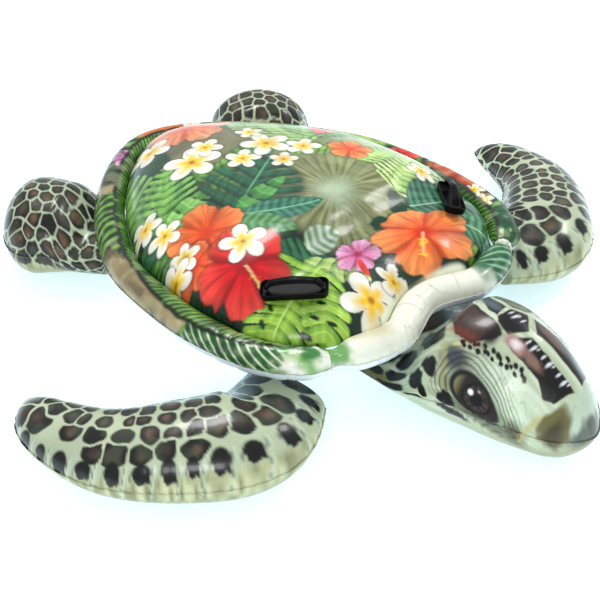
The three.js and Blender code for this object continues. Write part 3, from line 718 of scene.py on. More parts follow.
def rim_print(places):
    """Jungle print round the rim: distance along it, and round the tube from its outer seam."""
    sheet = Print(places, "35623a")
    x, y = sheet.places.T
    everywhere = np.arange(len(x))
    stripes(sheet, 380, 3200, -10, 140, 46, "1d3d24", "6fa64c", 0.7)
    stripes(sheet, 2150, 2450, -10, 140, 34, "12301e", "7cae48", 0.5)
    stripes(sheet, 2440, 2790, -10, 140, 130, "6b5c40", "b8ab86", 0.4, 0.8)
    stripes(sheet, 2430, 2800, 62, 140, 40, "1d3a22", "6c9a4a", 1.0, 1.6)
    stripes(sheet, 2790, 3060, -10, 140, 62, "3f7f34", "8cc45a", 1.2, 0.8)
    stripes(sheet, 2800, 3060, -10, 140, 31, "2f6c2c", "e6efd8", 1.3, 5)
    stripes(sheet, 3050, 3250, -10, 140, 110, "8fbc78", "f4f4ea", 1.0, 0.7)
    for start, colour in ((700, "c8502c"), (1080, "b9d07c"), (1420, "c0a878"), (1700, "d77a3c")):
        patch(sheet, start, 70, (110, 60), colour, 10, 0.9)
    patch(sheet, 2128, 62, (26, 60), "a99b78", 12)
    patch(sheet, 2057, 70, (50, 60), "16301f", 12)
    patch(sheet, 2600, 50, (130, 50), "9a8a68", 0, 0.8)
    patch(sheet, 3075, 80, (34, 26), "4f9250", 20)
    patch(sheet, 3135, 52, (30, 22), "4c8c4c", -20)
    patch(sheet, 3180, 90, (24, 24), "63a052", 0)
    patch(sheet, 440, 60, (60, 70), "2c6244", 30)
    hibiscus(sheet, 1950, 92, 60, "9c2a64", "cf7ab4", "eabadc", turn=20)
    hibiscus(sheet, 900, 80, 56, "b81c26", "e0402f", "f0806a", turn=50)
    for along, across, size, turn in ((560, 84, 36, 20), (620, 74, 34, 60), (2870, 108, 22, 0),
                                      (1250, 80, 40, 35), (1600, 78, 42, 5), (2330, 112, 26, 15)):
        plumeria(sheet, along, across, size, turn)
    rim_shoulder(sheet)
    shade = noise(sheet.places, 26, 5)
    sheet.lay(everywhere, 0.4 * smooth_step(0.15, 0.7, shade), "16281c")
    sheet.lay(everywhere, 0.25 * smooth_step(-0.2, -0.7, shade), "d6d8b4")
    return sheet.grid(1.2)


def collar_print(places):
    """Cream band over the neck, with leaves where it meets the rim."""
    sheet = Print(places, "e9ebda")
    sheet.mottle(50, 0.9, 1.04, 6)
    x, y = sheet.places.T
    everywhere = np.arange(len(x))
    stain = smooth_step(-0.1, 0.7, noise(sheet.places, 70, 16)) * smooth_step(20, 70, y)
    sheet.lay(everywhere, 0.75 * stain, "b9a866")
    # painted shade in creases: thin dark lines, mostly round the tube, over the cream
    crease_shade = 1 - np.abs(noise(np.stack([x / 34, y / 110], -1), 1.0, 17))
    sheet.lay(everywhere, 0.55 * smooth_step(0.93, 0.995, crease_shade) * smooth_step(10, 60, y), "5d5a44")
    patch(sheet, 245, 70, (95, 75), "2f6a48", 10, soft=0.2)
    stripes(sheet, 190, 340, -10, 140, 30, "1f5238", "86b98c", 0.9, 3)
    patch(sheet, -335, 60, (30, 60), "6ea45c", 10)
    return sheet.grid()


def scale_seeds(rng, length, low, high, taken, size_at):
    """Uneven rows of scales wherever the taken places leave room."""
    seeds, taken = [], list(taken)
    row = low
    while row < high:
        pitch = 2.0 * size_at(0, row)
        count = int(length / pitch)
        for step in range(count + 1):
            x = (step + 0.5 * ((row // 7) % 2)) * length / count + rng.uniform(-0.25, 0.25) * pitch
            wide = size_at(x, row)
            place = (x, row + rng.uniform(-0.2, 0.2) * wide)
            room = 0.7 * wide
            free = min((math.hypot((place[0] - s[0]) / (s[2] + room), (place[1] - s[1]) / (s[3] + room))
                        for s in seeds + taken), default=9)
            if free > 1:
                seeds.append((*place, wide * rng.uniform(1.1, 1.5), wide * rng.uniform(1.1, 1.4),
                              rng.choice([0, 0.4, 0.9])))
        row += 1.7 * size_at(0, row)
    return seeds


def edge_blotches(length):
    """Feathery blotches behind the leading edge: along, across, half length, half width."""
    pitch = 48
    blotches = []
    for index in range(1, int(length / pitch)):
        along = pitch * index
        across = 65 + 45 * math.sin(math.pi * along / length)
        blotches.append((along, across, 14 + 2 * (index % 3), 24 + 6 * (index % 2)))
    return blotches


def front_scale_size(along, across):
    """Scales are finest on the crest halfway out, coarser towards the root, the tip and both edges."""
    return 11 + 10 * smooth_step(60, 340, abs(along - 380)) + 0.06 * abs(across)


def thin_line(sheet, start, end, half_width, colour, strength):
    """Fine printed line between two places."""
    (x0, y0), (x1, y1) = start, end
    length = math.hypot(x1 - x0, y1 - y0)
    turn = math.degrees(math.atan2(y1 - y0, x1 - x0))
    chosen, u, v = sheet.near((x0 + x1) / 2, (y0 + y1) / 2, length / 2 + 3 * half_width, turn)
    ink = smooth_step(half_width, 0.3 * half_width, np.abs(v))
    ink = ink * smooth_step(length / 2 + 2, length / 2 - 4, np.abs(u))
    sheet.lay(chosen, strength * ink, colour)


def flipper_print(places, scales, blotches, leading, seed):
    """Pale skin with dark scales; the leading edge is yellow-olive with fine lines."""
    sheet = Print(places, "c3cdb2")
    sheet.mottle(45, 0.88, 1.06, seed)
    x, y = sheet.places.T
    everywhere = np.arange(len(x))
    rays = noise(np.stack([x / 7, y / 60], -1), 1.0, seed + 3)
    band = smooth_step(leading - 35, leading + 5, y)
    sheet.lay(everywhere, band, mixed("979a72", "cfd2ac", 0.5 + 0.9 * rays))
    cells(sheet, scales, 6, seed)
    for along, across, wide, high in blotches:
        chosen, u, v = sheet.near(along, across, 1.7 * max(wide, high), 0, (wide, high))
        feather = 0.5 * noise(np.column_stack([u * 4, v * 0.8]), 1.0, 7) * smooth_step(-0.4, 0.9, v)
        sheet.lay(chosen, smooth_step(1.1, 0.8, np.hypot(u, v) + feather), "15160f")
    for first, second in zip(blotches, blotches[1:]):
        x = (first[0] + second[0]) / 2
        low = min(first[1], second[1]) - 20
        thin_line(sheet, (x, low), (x + 12, leading + 50), 3.5, "d3ddc8", 0.6)
        thin_line(sheet, (x + 3, low), (x + 15, leading + 50), 1.5, "6d8884", 0.6)
    return sheet


HEAD_MARKS_START = 54           # where the head's marks start, along the chamber
FRONT_PRINT_LENGTH, FRONT_EDGE_LENGTH = 760, 740
REAR_PRINT_LENGTH = 330
# Head marks: along from the neck's root, across from the crown, half length, half width, turn.
NECK_BLOTCHES = [
    (110, 65, 60, 20, 45), (160, 160, 30, 15, 45), (80, 105, 35, 20, 50), (80, 150, 35, 15, 25),
    (20, 90, 30, 30, 30), (140, 190, 35, 15, 70), (90, 205, 40, 20, 45), (230, 230, 30, 20, 60),
    (60, 190, 25, 10, 40), (250, 280, 40, 15, 0), (170, 230, 25, 10, 60), (20, 140, 25, 15, 20),
    (150, 260, 30, 10, 10), (60, 240, 30, 15, 10),
]
BROW_START, BROW_END = 205, 360
HEAD_SCUTES = {
    "crown": [(230, 15), (225, -25), (170, -40), (150, -65), (140, -130), (100, -185), (90, -230),
              (0, -240), (0, -60), (30, -60), (85, -105), (105, -95), (145, -25), (200, 10)],
    "temple": [(40, -50), (85, -95), (135, -25), (155, 0), (190, 15), (250, 30), (270, 45), (265, 60),
               (225, 95), (175, 90), (125, 40)],
    "forehead": [(230, 15), (240, 30), (280, 40), (310, 0), (270, -45), (235, -25)],
    "far_brow": [(150, -80), (165, -50), (235, -30), (260, -50), (265, -65), (225, -145), (165, -150)],
    "near_snout": [(280, 50), (300, 60), (380, 65), (405, 80), (430, 70), (450, 15), (350, 10), (320, 5)],
    "far_snout": [(280, -50), (320, -5), (350, -10), (450, -10), (430, -70), (405, -80), (360, -65)],
}


def scute(sheet, name, colour, seed):
    """One horny plate with a darker rim and fine grain."""
    corners = np.array(HEAD_SCUTES[name], float)
    low, high = corners.min(axis=0) - 4, corners.max(axis=0) + 4
    chosen = np.nonzero(((sheet.places > low) & (sheet.places < high)).all(axis=1))[0]
    places = sheet.places[chosen]
    depth = inside_polygon(places, corners) + 1.5 * noise(places, 14, seed)
    body = smooth_step(0.5, 3.5, depth)
    grain = noise(places, 9, seed + 1)
    sheet.lay(chosen, body, "211c1a")
    sheet.lay(chosen, body * smooth_step(1, 14, depth) * (0.85 + 0.25 * grain), colour)


def glints(sheet, start, end, across, step, height):
    """Painted glints: short pale highlight strokes across a dark plate."""
    for index, x in enumerate(np.arange(start, end, step)):
        swing = math.sin(2.1 * index)
        size = (2.2 + swing, height * (1 + 0.4 * swing))
        patch(sheet, x + 3 * swing, across + 3 * swing, size, "e9ecf0", 12, 0.9, soft=0.6)


def eye(sheet, x, y, side):
    chosen, u, v = sheet.near(x, y * side, 110)
    v = v * side
    lid = np.hypot((u * 0.94 + v * 0.34) / 62, (v * 0.94 - u * 0.34) / 37)
    wave = 0.5 + 0.5 * np.sin(26 * lid + 2.4 * noise(np.stack([u, v], -1), 26, 3))
    ring = smooth_step(1.0, 1.15, lid) * smooth_step(2.7, 1.6, lid)
    sheet.lay(chosen, 0.4 * smooth_step(1.9, 1.0, lid), "4c5048")
    sheet.lay(chosen, 0.75 * ring * wave ** 4, "33382f")
    sheet.lay(chosen, smooth_step(1.16, 1.02, lid), "2b2a27")
    sheet.lay(chosen, smooth_step(0.94, 0.84, lid), mixed("a8a87c", "3a322c", (u + 58) / 26))
    iris = np.hypot(u - 7, v + 2)
    sheet.lay(chosen, smooth_step(38, 34, iris), "1c1617")
    fibre = 0.5 + 0.6 * noise(np.column_stack([np.arctan2(v + 2, u - 7) * 9, iris / 30]), 1.0, 4)
    sheet.lay(chosen, smooth_step(31, 27, iris), mixed("241c1c", "5f5150", fibre))
    sheet.lay(chosen, smooth_step(17, 13, iris), "070607")
    sheet.lay(chosen, smooth_step(8, 5, np.hypot(u + 11, v + 10)), "fbfbfb")
    sheet.lay(chosen, 0.8 * smooth_step(5, 2, np.hypot(u - 6, (v + 22) * 1.6)), "c9c4c6")


def band(sheet, points, half_width, colour, strength=0.9):
    """Soft ribbon of ink along a line of places."""
    for (x0, y0), (x1, y1) in zip(points[:-1], points[1:]):
        steps = int(math.hypot(x1 - x0, y1 - y0) / half_width) + 1
        for step in range(steps):
            share = step / steps
            patch(sheet, x0 + share * (x1 - x0), y0 + share * (y1 - y0), (half_width * 1.3, half_width),
                  colour, math.degrees(math.atan2(y1 - y0, x1 - x0)), strength * 0.6, 0.6)


def head_side(sheet, side):
    """Marks that both sides of the head carry."""
    patch(sheet, 20, 185 * side, (60, 60), "7d7a50", soft=0.5)
    patch(sheet, 330, 128 * side, (72, 42), "d9e6d0")
    # painted shade: grey-blue dark patch behind the eye, on both sides
    patch(sheet, 206, 128 * side, (36, 20), "5d626a", soft=0.6)
    patch(sheet, 325, 238 * side, (80, 26), "8e947a", soft=0.6)
    patch(sheet, 385, 205 * side, (18, 40), "6f6b4c", soft=0.6)
    band(sheet, [(170, 112 * side), (200, 168 * side), (222, 205 * side), (262, 258 * side)], 7,
         "bdb98a", 0.7)
    band(sheet, [(190, 104 * side), (225, 99 * side)], 5, "ddd7a6", 0.7)
    band(sheet, [(392, 225 * side), (402, 165 * side), (412, 118 * side), (450, 66 * side)], 5,
         "c4be8a", 0.7)
    net = 1 - np.abs(noise(sheet.places, 15, 63 + side))
    face = smooth_step(75, 35, np.hypot(sheet.places[:, 0] - 345, 0.8 * (sheet.places[:, 1] - 140 * side)))
    sheet.lay(np.arange(len(net)), 0.45 * face * smooth_step(0.9, 0.99, net), "7f947c")
    eye(sheet, 285, 181, side)
    for index, x in enumerate(range(BROW_START, BROW_END, 7)):
        y = 96 - 0.12 * (x - BROW_START) + 8 * math.sin(2.4 * index)
        patch(sheet, x, y * side, (7 - index % 3, 5 - index % 2), "14130f", 25 * side, soft=0.25)
    for x, y, along, across, turn in NECK_BLOTCHES:
        patch(sheet, x, y * side, (along, across), "12110d", turn * side, soft=0.14)
    patch(sheet, 464, 34 * side, (4, 9), "0d0c0c", 10 * side, soft=0.3)


def head_print(places):
    """Turtle face: scutes over the crown, an eye on each side, blotched neck and a dark beak."""
    sheet = Print(places, "c2cdb2")
    x, y = sheet.places.T
    everywhere = np.arange(len(x))
    streaks = noise(np.stack([x / 90, y / 9], -1), 1.0, 61)
    sheet.lay(everywhere, 0.35 * smooth_step(0.0, 0.8, streaks), "98a486")
    sheet.lay(everywhere, 0.5 * smooth_step(-0.1, -0.8, streaks), "e2eadb")
    for side in (1, -1):
        head_side(sheet, side)
    patch(sheet, 30, -5, (40, 46), "14120e", soft=0.12)
    patch(sheet, 30, 0, (26, 26), "6c4c38", soft=0.5)
    scute(sheet, "crown", "46555c", 71)
    # painted highlight: pale blue-grey streak along the crown scute
    patch(sheet, 190, -10, (40, 8), "72848a", 8, 0.5)
    scute(sheet, "temple", "5a463c", 72)
    patch(sheet, 190, 80, (44, 9), "94463a", 6, 0.6, soft=0.8)
    patch(sheet, 252, 58, (16, 24), "1d1514", 0, 0.9, soft=0.7)
    patch(sheet, 142, 40, (12, 22), "241b19", -30, 0.8, soft=0.7)
    patch(sheet, 150, 20, (14, 10), "2a211e", 20, 0.6, soft=0.7)
    scute(sheet, "forehead", "17131a", 73)
    scute(sheet, "far_brow", "8a8d78", 74)
    scute(sheet, "near_snout", "15120f", 75)
    patch(sheet, 305, 44, (30, 15), "b3948e", 5, 1, soft=0.4)
    patch(sheet, 306, 43, (13, 9), "f1e8e8", 0, 0.9, soft=0.8)
    patch(sheet, 352, 46, (26, 11), "94786c", 0, 1, soft=0.5)
    scute(sheet, "far_snout", "1d1917", 76)
    patch(sheet, 345, -36, (40, 14), "80695e", 0, 1, soft=0.5)
    # painted highlights: glints on the dark snout and forehead scutes
    glints(sheet, 322, 446, 22, 14, 8)
    glints(sheet, 246, 290, -14, 11, 9)
    patch(sheet, 470, 0, (18, 130), "c6d4c2", soft=0.7)
    for side in (1, -1):
        patch(sheet, 448, 112 * side, (25, 62), "7d7850", 10 * side, soft=0.22)
        patch(sheet, 450, 116 * side, (15, 44), "4c4932", 10 * side, 0.85, soft=0.5)
    beak = smooth_step(478, 492, x + 0.0006 * y ** 2 + 5 * noise(sheet.places, 12, 8))
    sheet.lay(everywhere, 0.75 * beak * smooth_step(150, 60, np.abs(y)), "3b3f40")
    return sheet


# ---------------------------------------------------------------- handles
HANDLE_AT = (275, -290)
HANDLE_TURN = 48
TRAY = (155, 52, 15)            # length, width and corner radius
TRAY_FLOOR = 2.5
TRAY_SKIRT = 6                  # how far the skirt hangs below the base of the tray
TRAY_CLEARANCE = 4.5            # base of the tray over the highest place of the smooth dome below
GRIP_AXIS = 11.5                # height of the grip's fold axis over the base of the tray
GRIP_REACH = 70
GRIP_RISE = 30
GRIP_WIDTH, GRIP_FOOT_TAPER = 20, 6  # width of the strap, and how much narrower its feet are
GRIP_THICKNESS = 10


def share_to_groove(x, y):
    edge = outline_at(FINE, 2 * RIM_RADIUS + GROOVE_GAP) - (0, SHELL_Y)
    place = np.array([x, y - SHELL_Y])
    turn = np.abs(np.arctan2(edge[:, 0] * place[1] - edge[:, 1] * place[0], edge @ place))
    return np.linalg.norm(place) / np.linalg.norm(edge[np.argmin(turn)])


def dome_surface(x, y):
    return RIM_Z + float(dome_height(y, min(share_to_groove(x, y), 1.0)))


def frame_matrix(origin, x_axis, z_axis):
    z = Vector(z_axis).normalized()
    x = (Vector(x_axis) - z * Vector(x_axis).dot(z)).normalized()
    y = z.cross(x)
    matrix = Matrix((x, y, z)).transposed().to_4x4()
    matrix.translation = Vector(origin)
    return matrix


def handle_matrix(mirror):
    """Frame of a handle: x along the grip, z out of the shell, origin at the base of the tray."""
    turn = math.radians(HANDLE_TURN)
    along = Vector((-mirror * math.cos(turn), -math.sin(turn), 0))
    across = Vector((-along.y, along.x, 0))
    length, width = TRAY[:2]

    def surface(dx, dy):
        place = Vector((mirror * HANDLE_AT[0], HANDLE_AT[1] + SHELL_Y, 0)) + along * dx + across * dy
        return Vector((place.x, place.y, dome_surface(place.x, place.y)))
    slope_along = surface(0.35 * length, 0) - surface(-0.35 * length, 0)
    slope_across = surface(0, width / 2) - surface(0, -width / 2)
    matrix = frame_matrix(surface(0, 0), slope_along, slope_along.cross(slope_across))
    to_tray = matrix.inverted()
    spots = [(dx * length, dy * width) for dx in np.linspace(-0.5, 0.5, 9) for dy in (-0.5, 0, 0.5)]
    lift = max((to_tray @ surface(dx, dy)).z for dx, dy in spots) + TRAY_CLEARANCE
    return matrix @ Matrix.Translation((0, 0, lift))


def rounded_outline(length, width, corner, inset, per_corner=14):
    """Points round a rectangle with round corners, moved inwards by the inset."""
    points = []
    for quarter, (side_x, side_y) in enumerate(((1, 1), (-1, 1), (-1, -1), (1, -1))):
        turns = (quarter + np.linspace(0, 1, per_corner)) * math.pi / 2
        centre = np.array([side_x * (length / 2 - corner), side_y * (width / 2 - corner)])
        points.append(centre + (corner - inset) * np.stack([np.cos(turns), np.sin(turns)], -1))
    return np.concatenate(points)


def moved(points, matrix):
    points = np.asarray(points, float)
    turn = np.array(matrix.to_3x3())
    return points @ turn.T + np.array(matrix.translation)


def closed_rows(name, rows, ends, matrix, material):
    """Piece from rows of points that each close on themselves."""
    rows = np.asarray(rows, float)
    quads, fans = loop_faces(*rows.shape[:2])
    points = moved(np.concatenate([rows.reshape(-1, 3), ends]), matrix)
    return make_piece(name, points, quads + fans, [material])


def tray_piece(name, matrix, material):
    """Shallow tray with a skirt; its profile holds insets from the outline and heights."""
    skirt = [(13, -TRAY_SKIRT), (2, -TRAY_SKIRT), (1, -5.4), (0.4, -4), (0, 1.2)]
    lip = [(-0.8, 6), (-1.4, 10), (-1.2, 11.4), (-0.4, 12.2), (0.6, 12.4), (1.6, 12), (2.2, 11), (2.4, 8)]
    floor = [(3.2, 5), (4.6, 3.4), (6.4, 2.7), (13, TRAY_FLOOR)]
    rows = []
    for inset, height in skirt + lip + floor:
        level = rounded_outline(*TRAY, inset)
        rows.append(np.column_stack([level, np.full(len(level), height)]))
    return closed_rows(name, rows, [(0, 0, -TRAY_SKIRT), (0, 0, TRAY_FLOOR)], matrix, material)


def sweep_rows(path, widths, thicknesses, around=32, power=0.9):
    """Sections across a path in the xz plane: flat straps with round edges."""
    path = np.asarray(path, float)
    tangent = np.gradient(path, axis=0)
    tangent /= np.linalg.norm(tangent, axis=1, keepdims=True)
    up = np.stack([-tangent[:, 1], tangent[:, 0]], -1)
    turns = np.linspace(0, 2 * math.pi, around, endpoint=False)
    side = np.sign(np.cos(turns)) * np.abs(np.cos(turns)) ** power
    rise = np.sign(np.sin(turns)) * np.abs(np.sin(turns)) ** power
    rows = np.empty((len(path), around, 3))
    rows[..., 0] = path[:, None, 0] + up[:, None, 0] * rise * thicknesses[:, None] / 2
    rows[..., 1] = side * widths[:, None] / 2
    rows[..., 2] = path[:, None, 1] + up[:, None, 1] * rise * thicknesses[:, None] / 2
    return rows


def grip_piece(name, matrix, material):
    curve = spline([
        (-GRIP_REACH + 5, GRIP_AXIS - 1), (-GRIP_REACH + 8, GRIP_AXIS + 4),
        (-GRIP_REACH + 17, GRIP_AXIS + 15), (-GRIP_REACH + 40, GRIP_AXIS + GRIP_RISE - 10),
        (0, GRIP_AXIS + GRIP_RISE - 6),
        (GRIP_REACH - 40, GRIP_AXIS + GRIP_RISE - 10), (GRIP_REACH - 17, GRIP_AXIS + 15),
        (GRIP_REACH - 8, GRIP_AXIS + 4), (GRIP_REACH - 5, GRIP_AXIS - 1)])
    share = np.linspace(0, 1, 90)
    end = np.minimum(share, 1 - share)
    rounding = np.sqrt(1 - (1 - np.minimum(end / 0.03, 1)) ** 2) * 0.85 + 0.15
    widths = (GRIP_WIDTH - GRIP_FOOT_TAPER * np.exp(-(end / 0.08) ** 2)) * rounding
    thicknesses = GRIP_THICKNESS * rounding
    path = curve(share)
    rows = sweep_rows(path, widths, thicknesses)
    return closed_rows(name, rows, [rows[0].mean(0), rows[-1].mean(0)], matrix, material)


# ---------------------------------------------------------------- materials
def nodes_of(material):
    tree = material.node_tree
    return tree.nodes, tree.links, tree.nodes["Principled BSDF"]


def vinyl_material(name, colour=None, roughness=(0.2, 0.32), coat=0.2, bump=0.25, dents=0.35,
                   specular=0.32):
    """Glossy film: print or plain colour, uneven gloss, fine grain and broad soft dents."""
    material = bpy.data.materials.new(name)
    material.use_nodes = True
    nodes, links, shader = nodes_of(material)
    place = nodes.new("ShaderNodeTexCoord")

    def noise_node(scale, detail):
        node = nodes.new("ShaderNodeTexNoise")
        node.inputs["Scale"].default_value = scale
        node.inputs["Detail"].default_value = detail
        links.new(place.outputs["Object"], node.inputs["Vector"])
        return node
    tint = nodes.new("ShaderNodeMix")
    tint.data_type = "RGBA"
    tint.blend_type = "MULTIPLY"
    tint.inputs["Factor"].default_value = 1.0
    shade = nodes.new("ShaderNodeMapRange")
    shade.inputs["To Min"].default_value = 0.9
    shade.inputs["To Max"].default_value = 1.08
    links.new(noise_node(160, 3).outputs["Fac"], shade.inputs["Value"])
    links.new(shade.outputs["Result"], tint.inputs["B"])
    if colour is None:
        print_layer = nodes.new("ShaderNodeAttribute")
        print_layer.attribute_name = "print"
        links.new(print_layer.outputs["Color"], tint.inputs["A"])
    else:
        tint.inputs["A"].default_value = (*linear(colour), 1)
    links.new(tint.outputs["Result"], shader.inputs["Base Color"])
    gloss = nodes.new("ShaderNodeMapRange")
    gloss.inputs["To Min"].default_value = roughness[0]
    gloss.inputs["To Max"].default_value = roughness[1]
    links.new(noise_node(14, 2).outputs["Fac"], gloss.inputs["Value"])
    links.new(gloss.outputs["Result"], shader.inputs["Roughness"])
    grain = nodes.new("ShaderNodeBump")
    grain.inputs["Strength"].default_value = bump
    grain.inputs["Distance"].default_value = 0.0003
    links.new(noise_node(900, 2).outputs["Fac"], grain.inputs["Height"])
    dent = nodes.new("ShaderNodeBump")
    dent.inputs["Strength"].default_value = dents
    dent.inputs["Distance"].default_value = 0.004
    links.new(noise_node(16, 1).outputs["Fac"], dent.inputs["Height"])
    links.new(grain.outputs["Normal"], dent.inputs["Normal"])
    links.new(dent.outputs["Normal"], shader.inputs["Normal"])
    shader.inputs["Coat Weight"].default_value = coat
    shader.inputs["Coat Roughness"].default_value = 0.08
    shader.inputs["Specular IOR Level"].default_value = specular
    return material


PRINTED_SHELL = vinyl_material("printed_shell_vinyl")
PRINTED_SKIN = vinyl_material("printed_skin_vinyl")
PALE_UNDERSIDE = vinyl_material("pale_underside_vinyl", "e4edf2")
OLIVE_UNDERSIDE = vinyl_material("olive_underside_vinyl")
BLACK_MOULDED = vinyl_material("black_moulded_vinyl", "050506", (0.3, 0.42), 0.0, 0.4, 0.3, 0.08)
CLEAR_VINYL = vinyl_material("clear_vinyl", "dfe6e4", (0.25, 0.35), 0.3, 0.2, 0.1)


# ---------------------------------------------------------------- camera, floor and light
CAMERA_TURN, CAMERA_RISE = -44.9, 36.1   # degrees round the float from its front, and above the floor
CAMERA_TARGET = (0, 0.020, 0.091)        # metres
CAMERA_DISTANCE = 2.754
CAMERA_LENS = 62.5
CAMERA_SHIFT = (-0.032, -0.039)
FLOOR_HALF = 14.0


def add_camera():
    data = bpy.data.cameras.new("camera")
    data.sensor_width = 36
    data.lens = CAMERA_LENS
    data.shift_x, data.shift_y = CAMERA_SHIFT
    camera = bpy.data.objects.new("camera", data)
    bpy.context.scene.collection.objects.link(camera)
    azimuth, elevation = math.radians(CAMERA_TURN), math.radians(CAMERA_RISE)
    back = Vector((math.sin(azimuth) * math.cos(elevation), -math.cos(azimuth) * math.cos(elevation),
                   math.sin(elevation)))
    camera.location = Vector(CAMERA_TARGET) + back * CAMERA_DISTANCE
    camera.rotation_euler = (-back).to_track_quat("-Z", "Y").to_euler()
    bpy.context.scene.camera = camera


def add_floor():
    material = bpy.data.materials.new("studio_floor")
    material.use_nodes = True
    nodes, links, shader = nodes_of(material)
    shader.inputs["Base Color"].default_value = (0.93, 0.965, 0.98, 1)
    shader.inputs["Roughness"].default_value = 0.7
    shader.inputs["Emission Color"].default_value = (0.64, 0.89, 1, 1)
    shader.inputs["Emission Strength"].default_value = 0.62
    mesh = bpy.data.meshes.new("studio_floor")
    corners = [(x * FLOOR_HALF, y * FLOOR_HALF, -0.001) for x, y in ((-1, -1), (1, -1), (1, 1), (-1, 1))]
    mesh.from_pydata(corners, [], [(0, 1, 2, 3)])
    mesh.materials.append(material)
    floor = bpy.data.objects.new("studio_floor", mesh)
    bpy.context.scene.collection.objects.link(floor)


def add_area_light(name, location, target, size, power):
    data = bpy.data.lights.new(name, "AREA")
    data.shape = "RECTANGLE"
    data.size, data.size_y = size
    data.energy = power
    light = bpy.data.objects.new(name, data)
    light.location = location
    light.rotation_euler = (Vector(target) - Vector(location)).to_track_quat("-Z", "Y").to_euler()
    bpy.context.scene.collection.objects.link(light)


def add_lights():
    world = bpy.data.worlds.new("studio")
    world.use_nodes = True
    background = world.node_tree.nodes["Background"]
    background.inputs["Color"].default_value = (0.93, 0.97, 1, 1)
    background.inputs["Strength"].default_value = 0.72
    bpy.context.scene.world = world
    add_area_light("top_softbox", (0.3, 0.9, 2.6), (0, 0, 0.2), (0.9, 0.7), 38)
    add_area_light("right_softbox", (1.75, -0.75, 1.9), (0, 0, 0.3), (0.55, 0.3), 11)
    add_area_light("front_softbox", (-2.4, -2.0, 1.9), (0, 0, 0.15), (1.2, 0.7), 26)
    bpy.context.scene.view_settings.view_transform = "Standard"


add_camera()
add_floor()
add_lights()


# ---------------------------------------------------------------- assembly
def column_slots(upper, lower):
    return np.array([0] * (upper + 1) + [1] * (lower + 2) + [0])


def build_rim():
    for name, start, end, rows, seed, nodes in (
            ("rim_tube", PINCH_SHARE + CHAMBER_GAP, 1 - PINCH_SHARE - CHAMBER_GAP, 880, 11,
             ("rim_upper_panel", "rim_lower_panel")),
            ("collar_tube", -PINCH_SHARE + CHAMBER_GAP, PINCH_SHARE - CHAMBER_GAP, 260, 21,
             ("collar_upper_panel", "collar_lower_panel"))):
        points, ends, along = rim_points(start, end, rows, *RIM_COLUMNS, seed)
        angle = section_columns(*RIM_COLUMNS, far_flange=False)[0]
        places = np.stack([along, np.broadcast_to(RIM_RADIUS * angle, along.shape)], -1)
        colours = (rim_print if name == "rim_tube" else collar_print)(places)
        piece = tube_piece(name, points, ends, [PRINTED_SHELL, PALE_UNDERSIDE], colours,
                           column_slots(*RIM_COLUMNS))
        finish_chamber(piece, "shell", nodes)


def finish_chamber(piece, body, nodes, blend=None):
    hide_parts(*nodes)
    if blend:
        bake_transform(piece)
    else:
        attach(piece, body)


def build_shell():
    points, faces, top_faces = shell_points(SHELL_CELLS, BELLY_RINGS)
    slots = np.ones(len(faces), int)
    slots[:top_faces] = 0
    colours = shell_print(points[:, :2] - (0, SHELL_Y))
    piece = make_piece("shell_chamber", points, faces, [PRINTED_SHELL, PALE_UNDERSIDE], colours, slots)
    finish_chamber(piece, "shell", ("shell_top_panel", "belly_panel"))


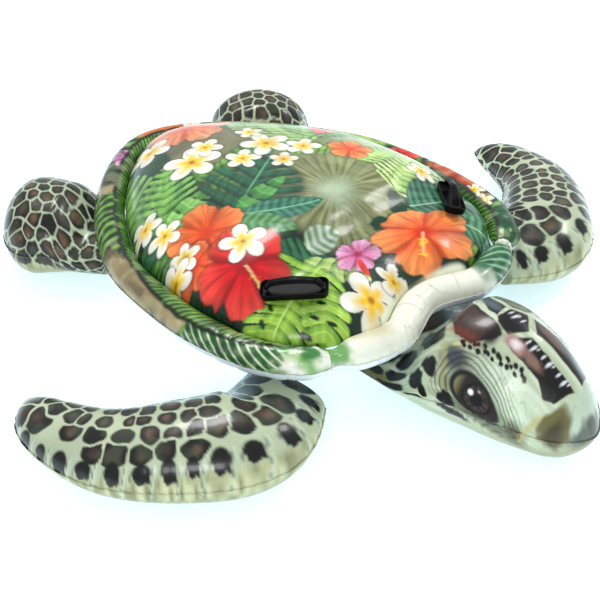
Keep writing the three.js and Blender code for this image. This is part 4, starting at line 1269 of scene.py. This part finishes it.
def skin_colours(place, walk, across, angle):
    """Printed skin, which fades to plain olive under the chamber."""
    places = np.stack([walk, across], -1)
    scale_rng = np.random.default_rng(5)
    if place == "head":
        sheet = head_print(places - (HEAD_MARKS_START, 0))
    elif place == "front":
        blotches = edge_blotches(FRONT_EDGE_LENGTH)
        scales = scale_seeds(scale_rng, FRONT_PRINT_LENGTH, -330, 95, blotches, front_scale_size)
        sheet = flipper_print(places, scales, blotches, 140, 81)
    else:
        scales = scale_seeds(scale_rng, REAR_PRINT_LENGTH, -330, 230, [],
                             lambda x, y: 9 + 0.03 * x + 0.03 * abs(y))
        sheet = flipper_print(places, scales, [], 210, 86)
    under = smooth_step(0.15, 0.6, -np.sin(np.broadcast_to(angle, walk.shape))).ravel()
    sheet.lay(np.arange(len(under)), 0.85 * under, "a09a74")
    sheet.mottle(160, 0.93, 1.06, 9)
    return sheet.grid(1.25)


def build_flippers():
    for place, shape, start, end, seed in (
            ("front", FRONT_FLIPPER, (0.36, -0.235, 0.098), (0.51, -0.29, 0.098), 31),
            ("rear", REAR_FLIPPER, (0.27, 0.52, 0.098), (0.38, 0.63, 0.098), 41)):
        points, ends, walk, across, angle = chamber_points(
            shape["rows"], shape["upper"], shape["lower"], flipper_section(shape), seed)
        colours = skin_colours(place, walk, across, angle)
        for side, mirror in (("left", 1), ("right", -1)):
            body = f"{place}_{side}_flipper"
            piece = tube_piece(f"{body}_chamber", points, ends, [PRINTED_SKIN, OLIVE_UNDERSIDE], colours,
                               column_slots(shape["upper"], shape["lower"]), mirror < 0)
            blend = [(mirror * x, y, z) for x, y, z in (start, end)]
            nodes = (f"{body}_upper_panel", f"{body}_lower_panel")
            finish_chamber(piece, body, nodes, blend)


def build_head():
    points, ends, walk, across, angle = chamber_points(
        HEAD["rows"], HEAD["upper"], HEAD["lower"], head_section, 51)
    piece = tube_piece("head_chamber", points, ends, [PRINTED_SKIN, OLIVE_UNDERSIDE],
                       skin_colours("head", walk, across, angle),
                       column_slots(HEAD["upper"], HEAD["lower"]))
    finish_chamber(piece, "head", ("head_upper_panel", "head_lower_panel"),
                   ((0, -0.36, 0.092), (0, -0.46, 0.092)))


def build_handles():
    for side, mirror in (("left", 1), ("right", -1)):
        matrix = handle_matrix(mirror)
        tray = tray_piece(f"{side}_handle_tray", matrix, BLACK_MOULDED)
        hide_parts(f"{side}_handle_pad")
        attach(tray, "shell")
        grip = grip_piece(f"{side}_handle_loop", matrix, BLACK_MOULDED)
        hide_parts(f"{side}_handle_grip")
        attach(grip, f"{side}_grip")


build_shell()
build_rim()
build_flippers()
build_head()
build_handles()
for node in ("inner_cross_web", *(f"{valve}_valve_{part}" for valve in ("shell", "rim")
                                  for part in ("socket", "stem", "flap", "plug"))):
    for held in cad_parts[node].material_slots:
        held.material = CLEAR_VINYL
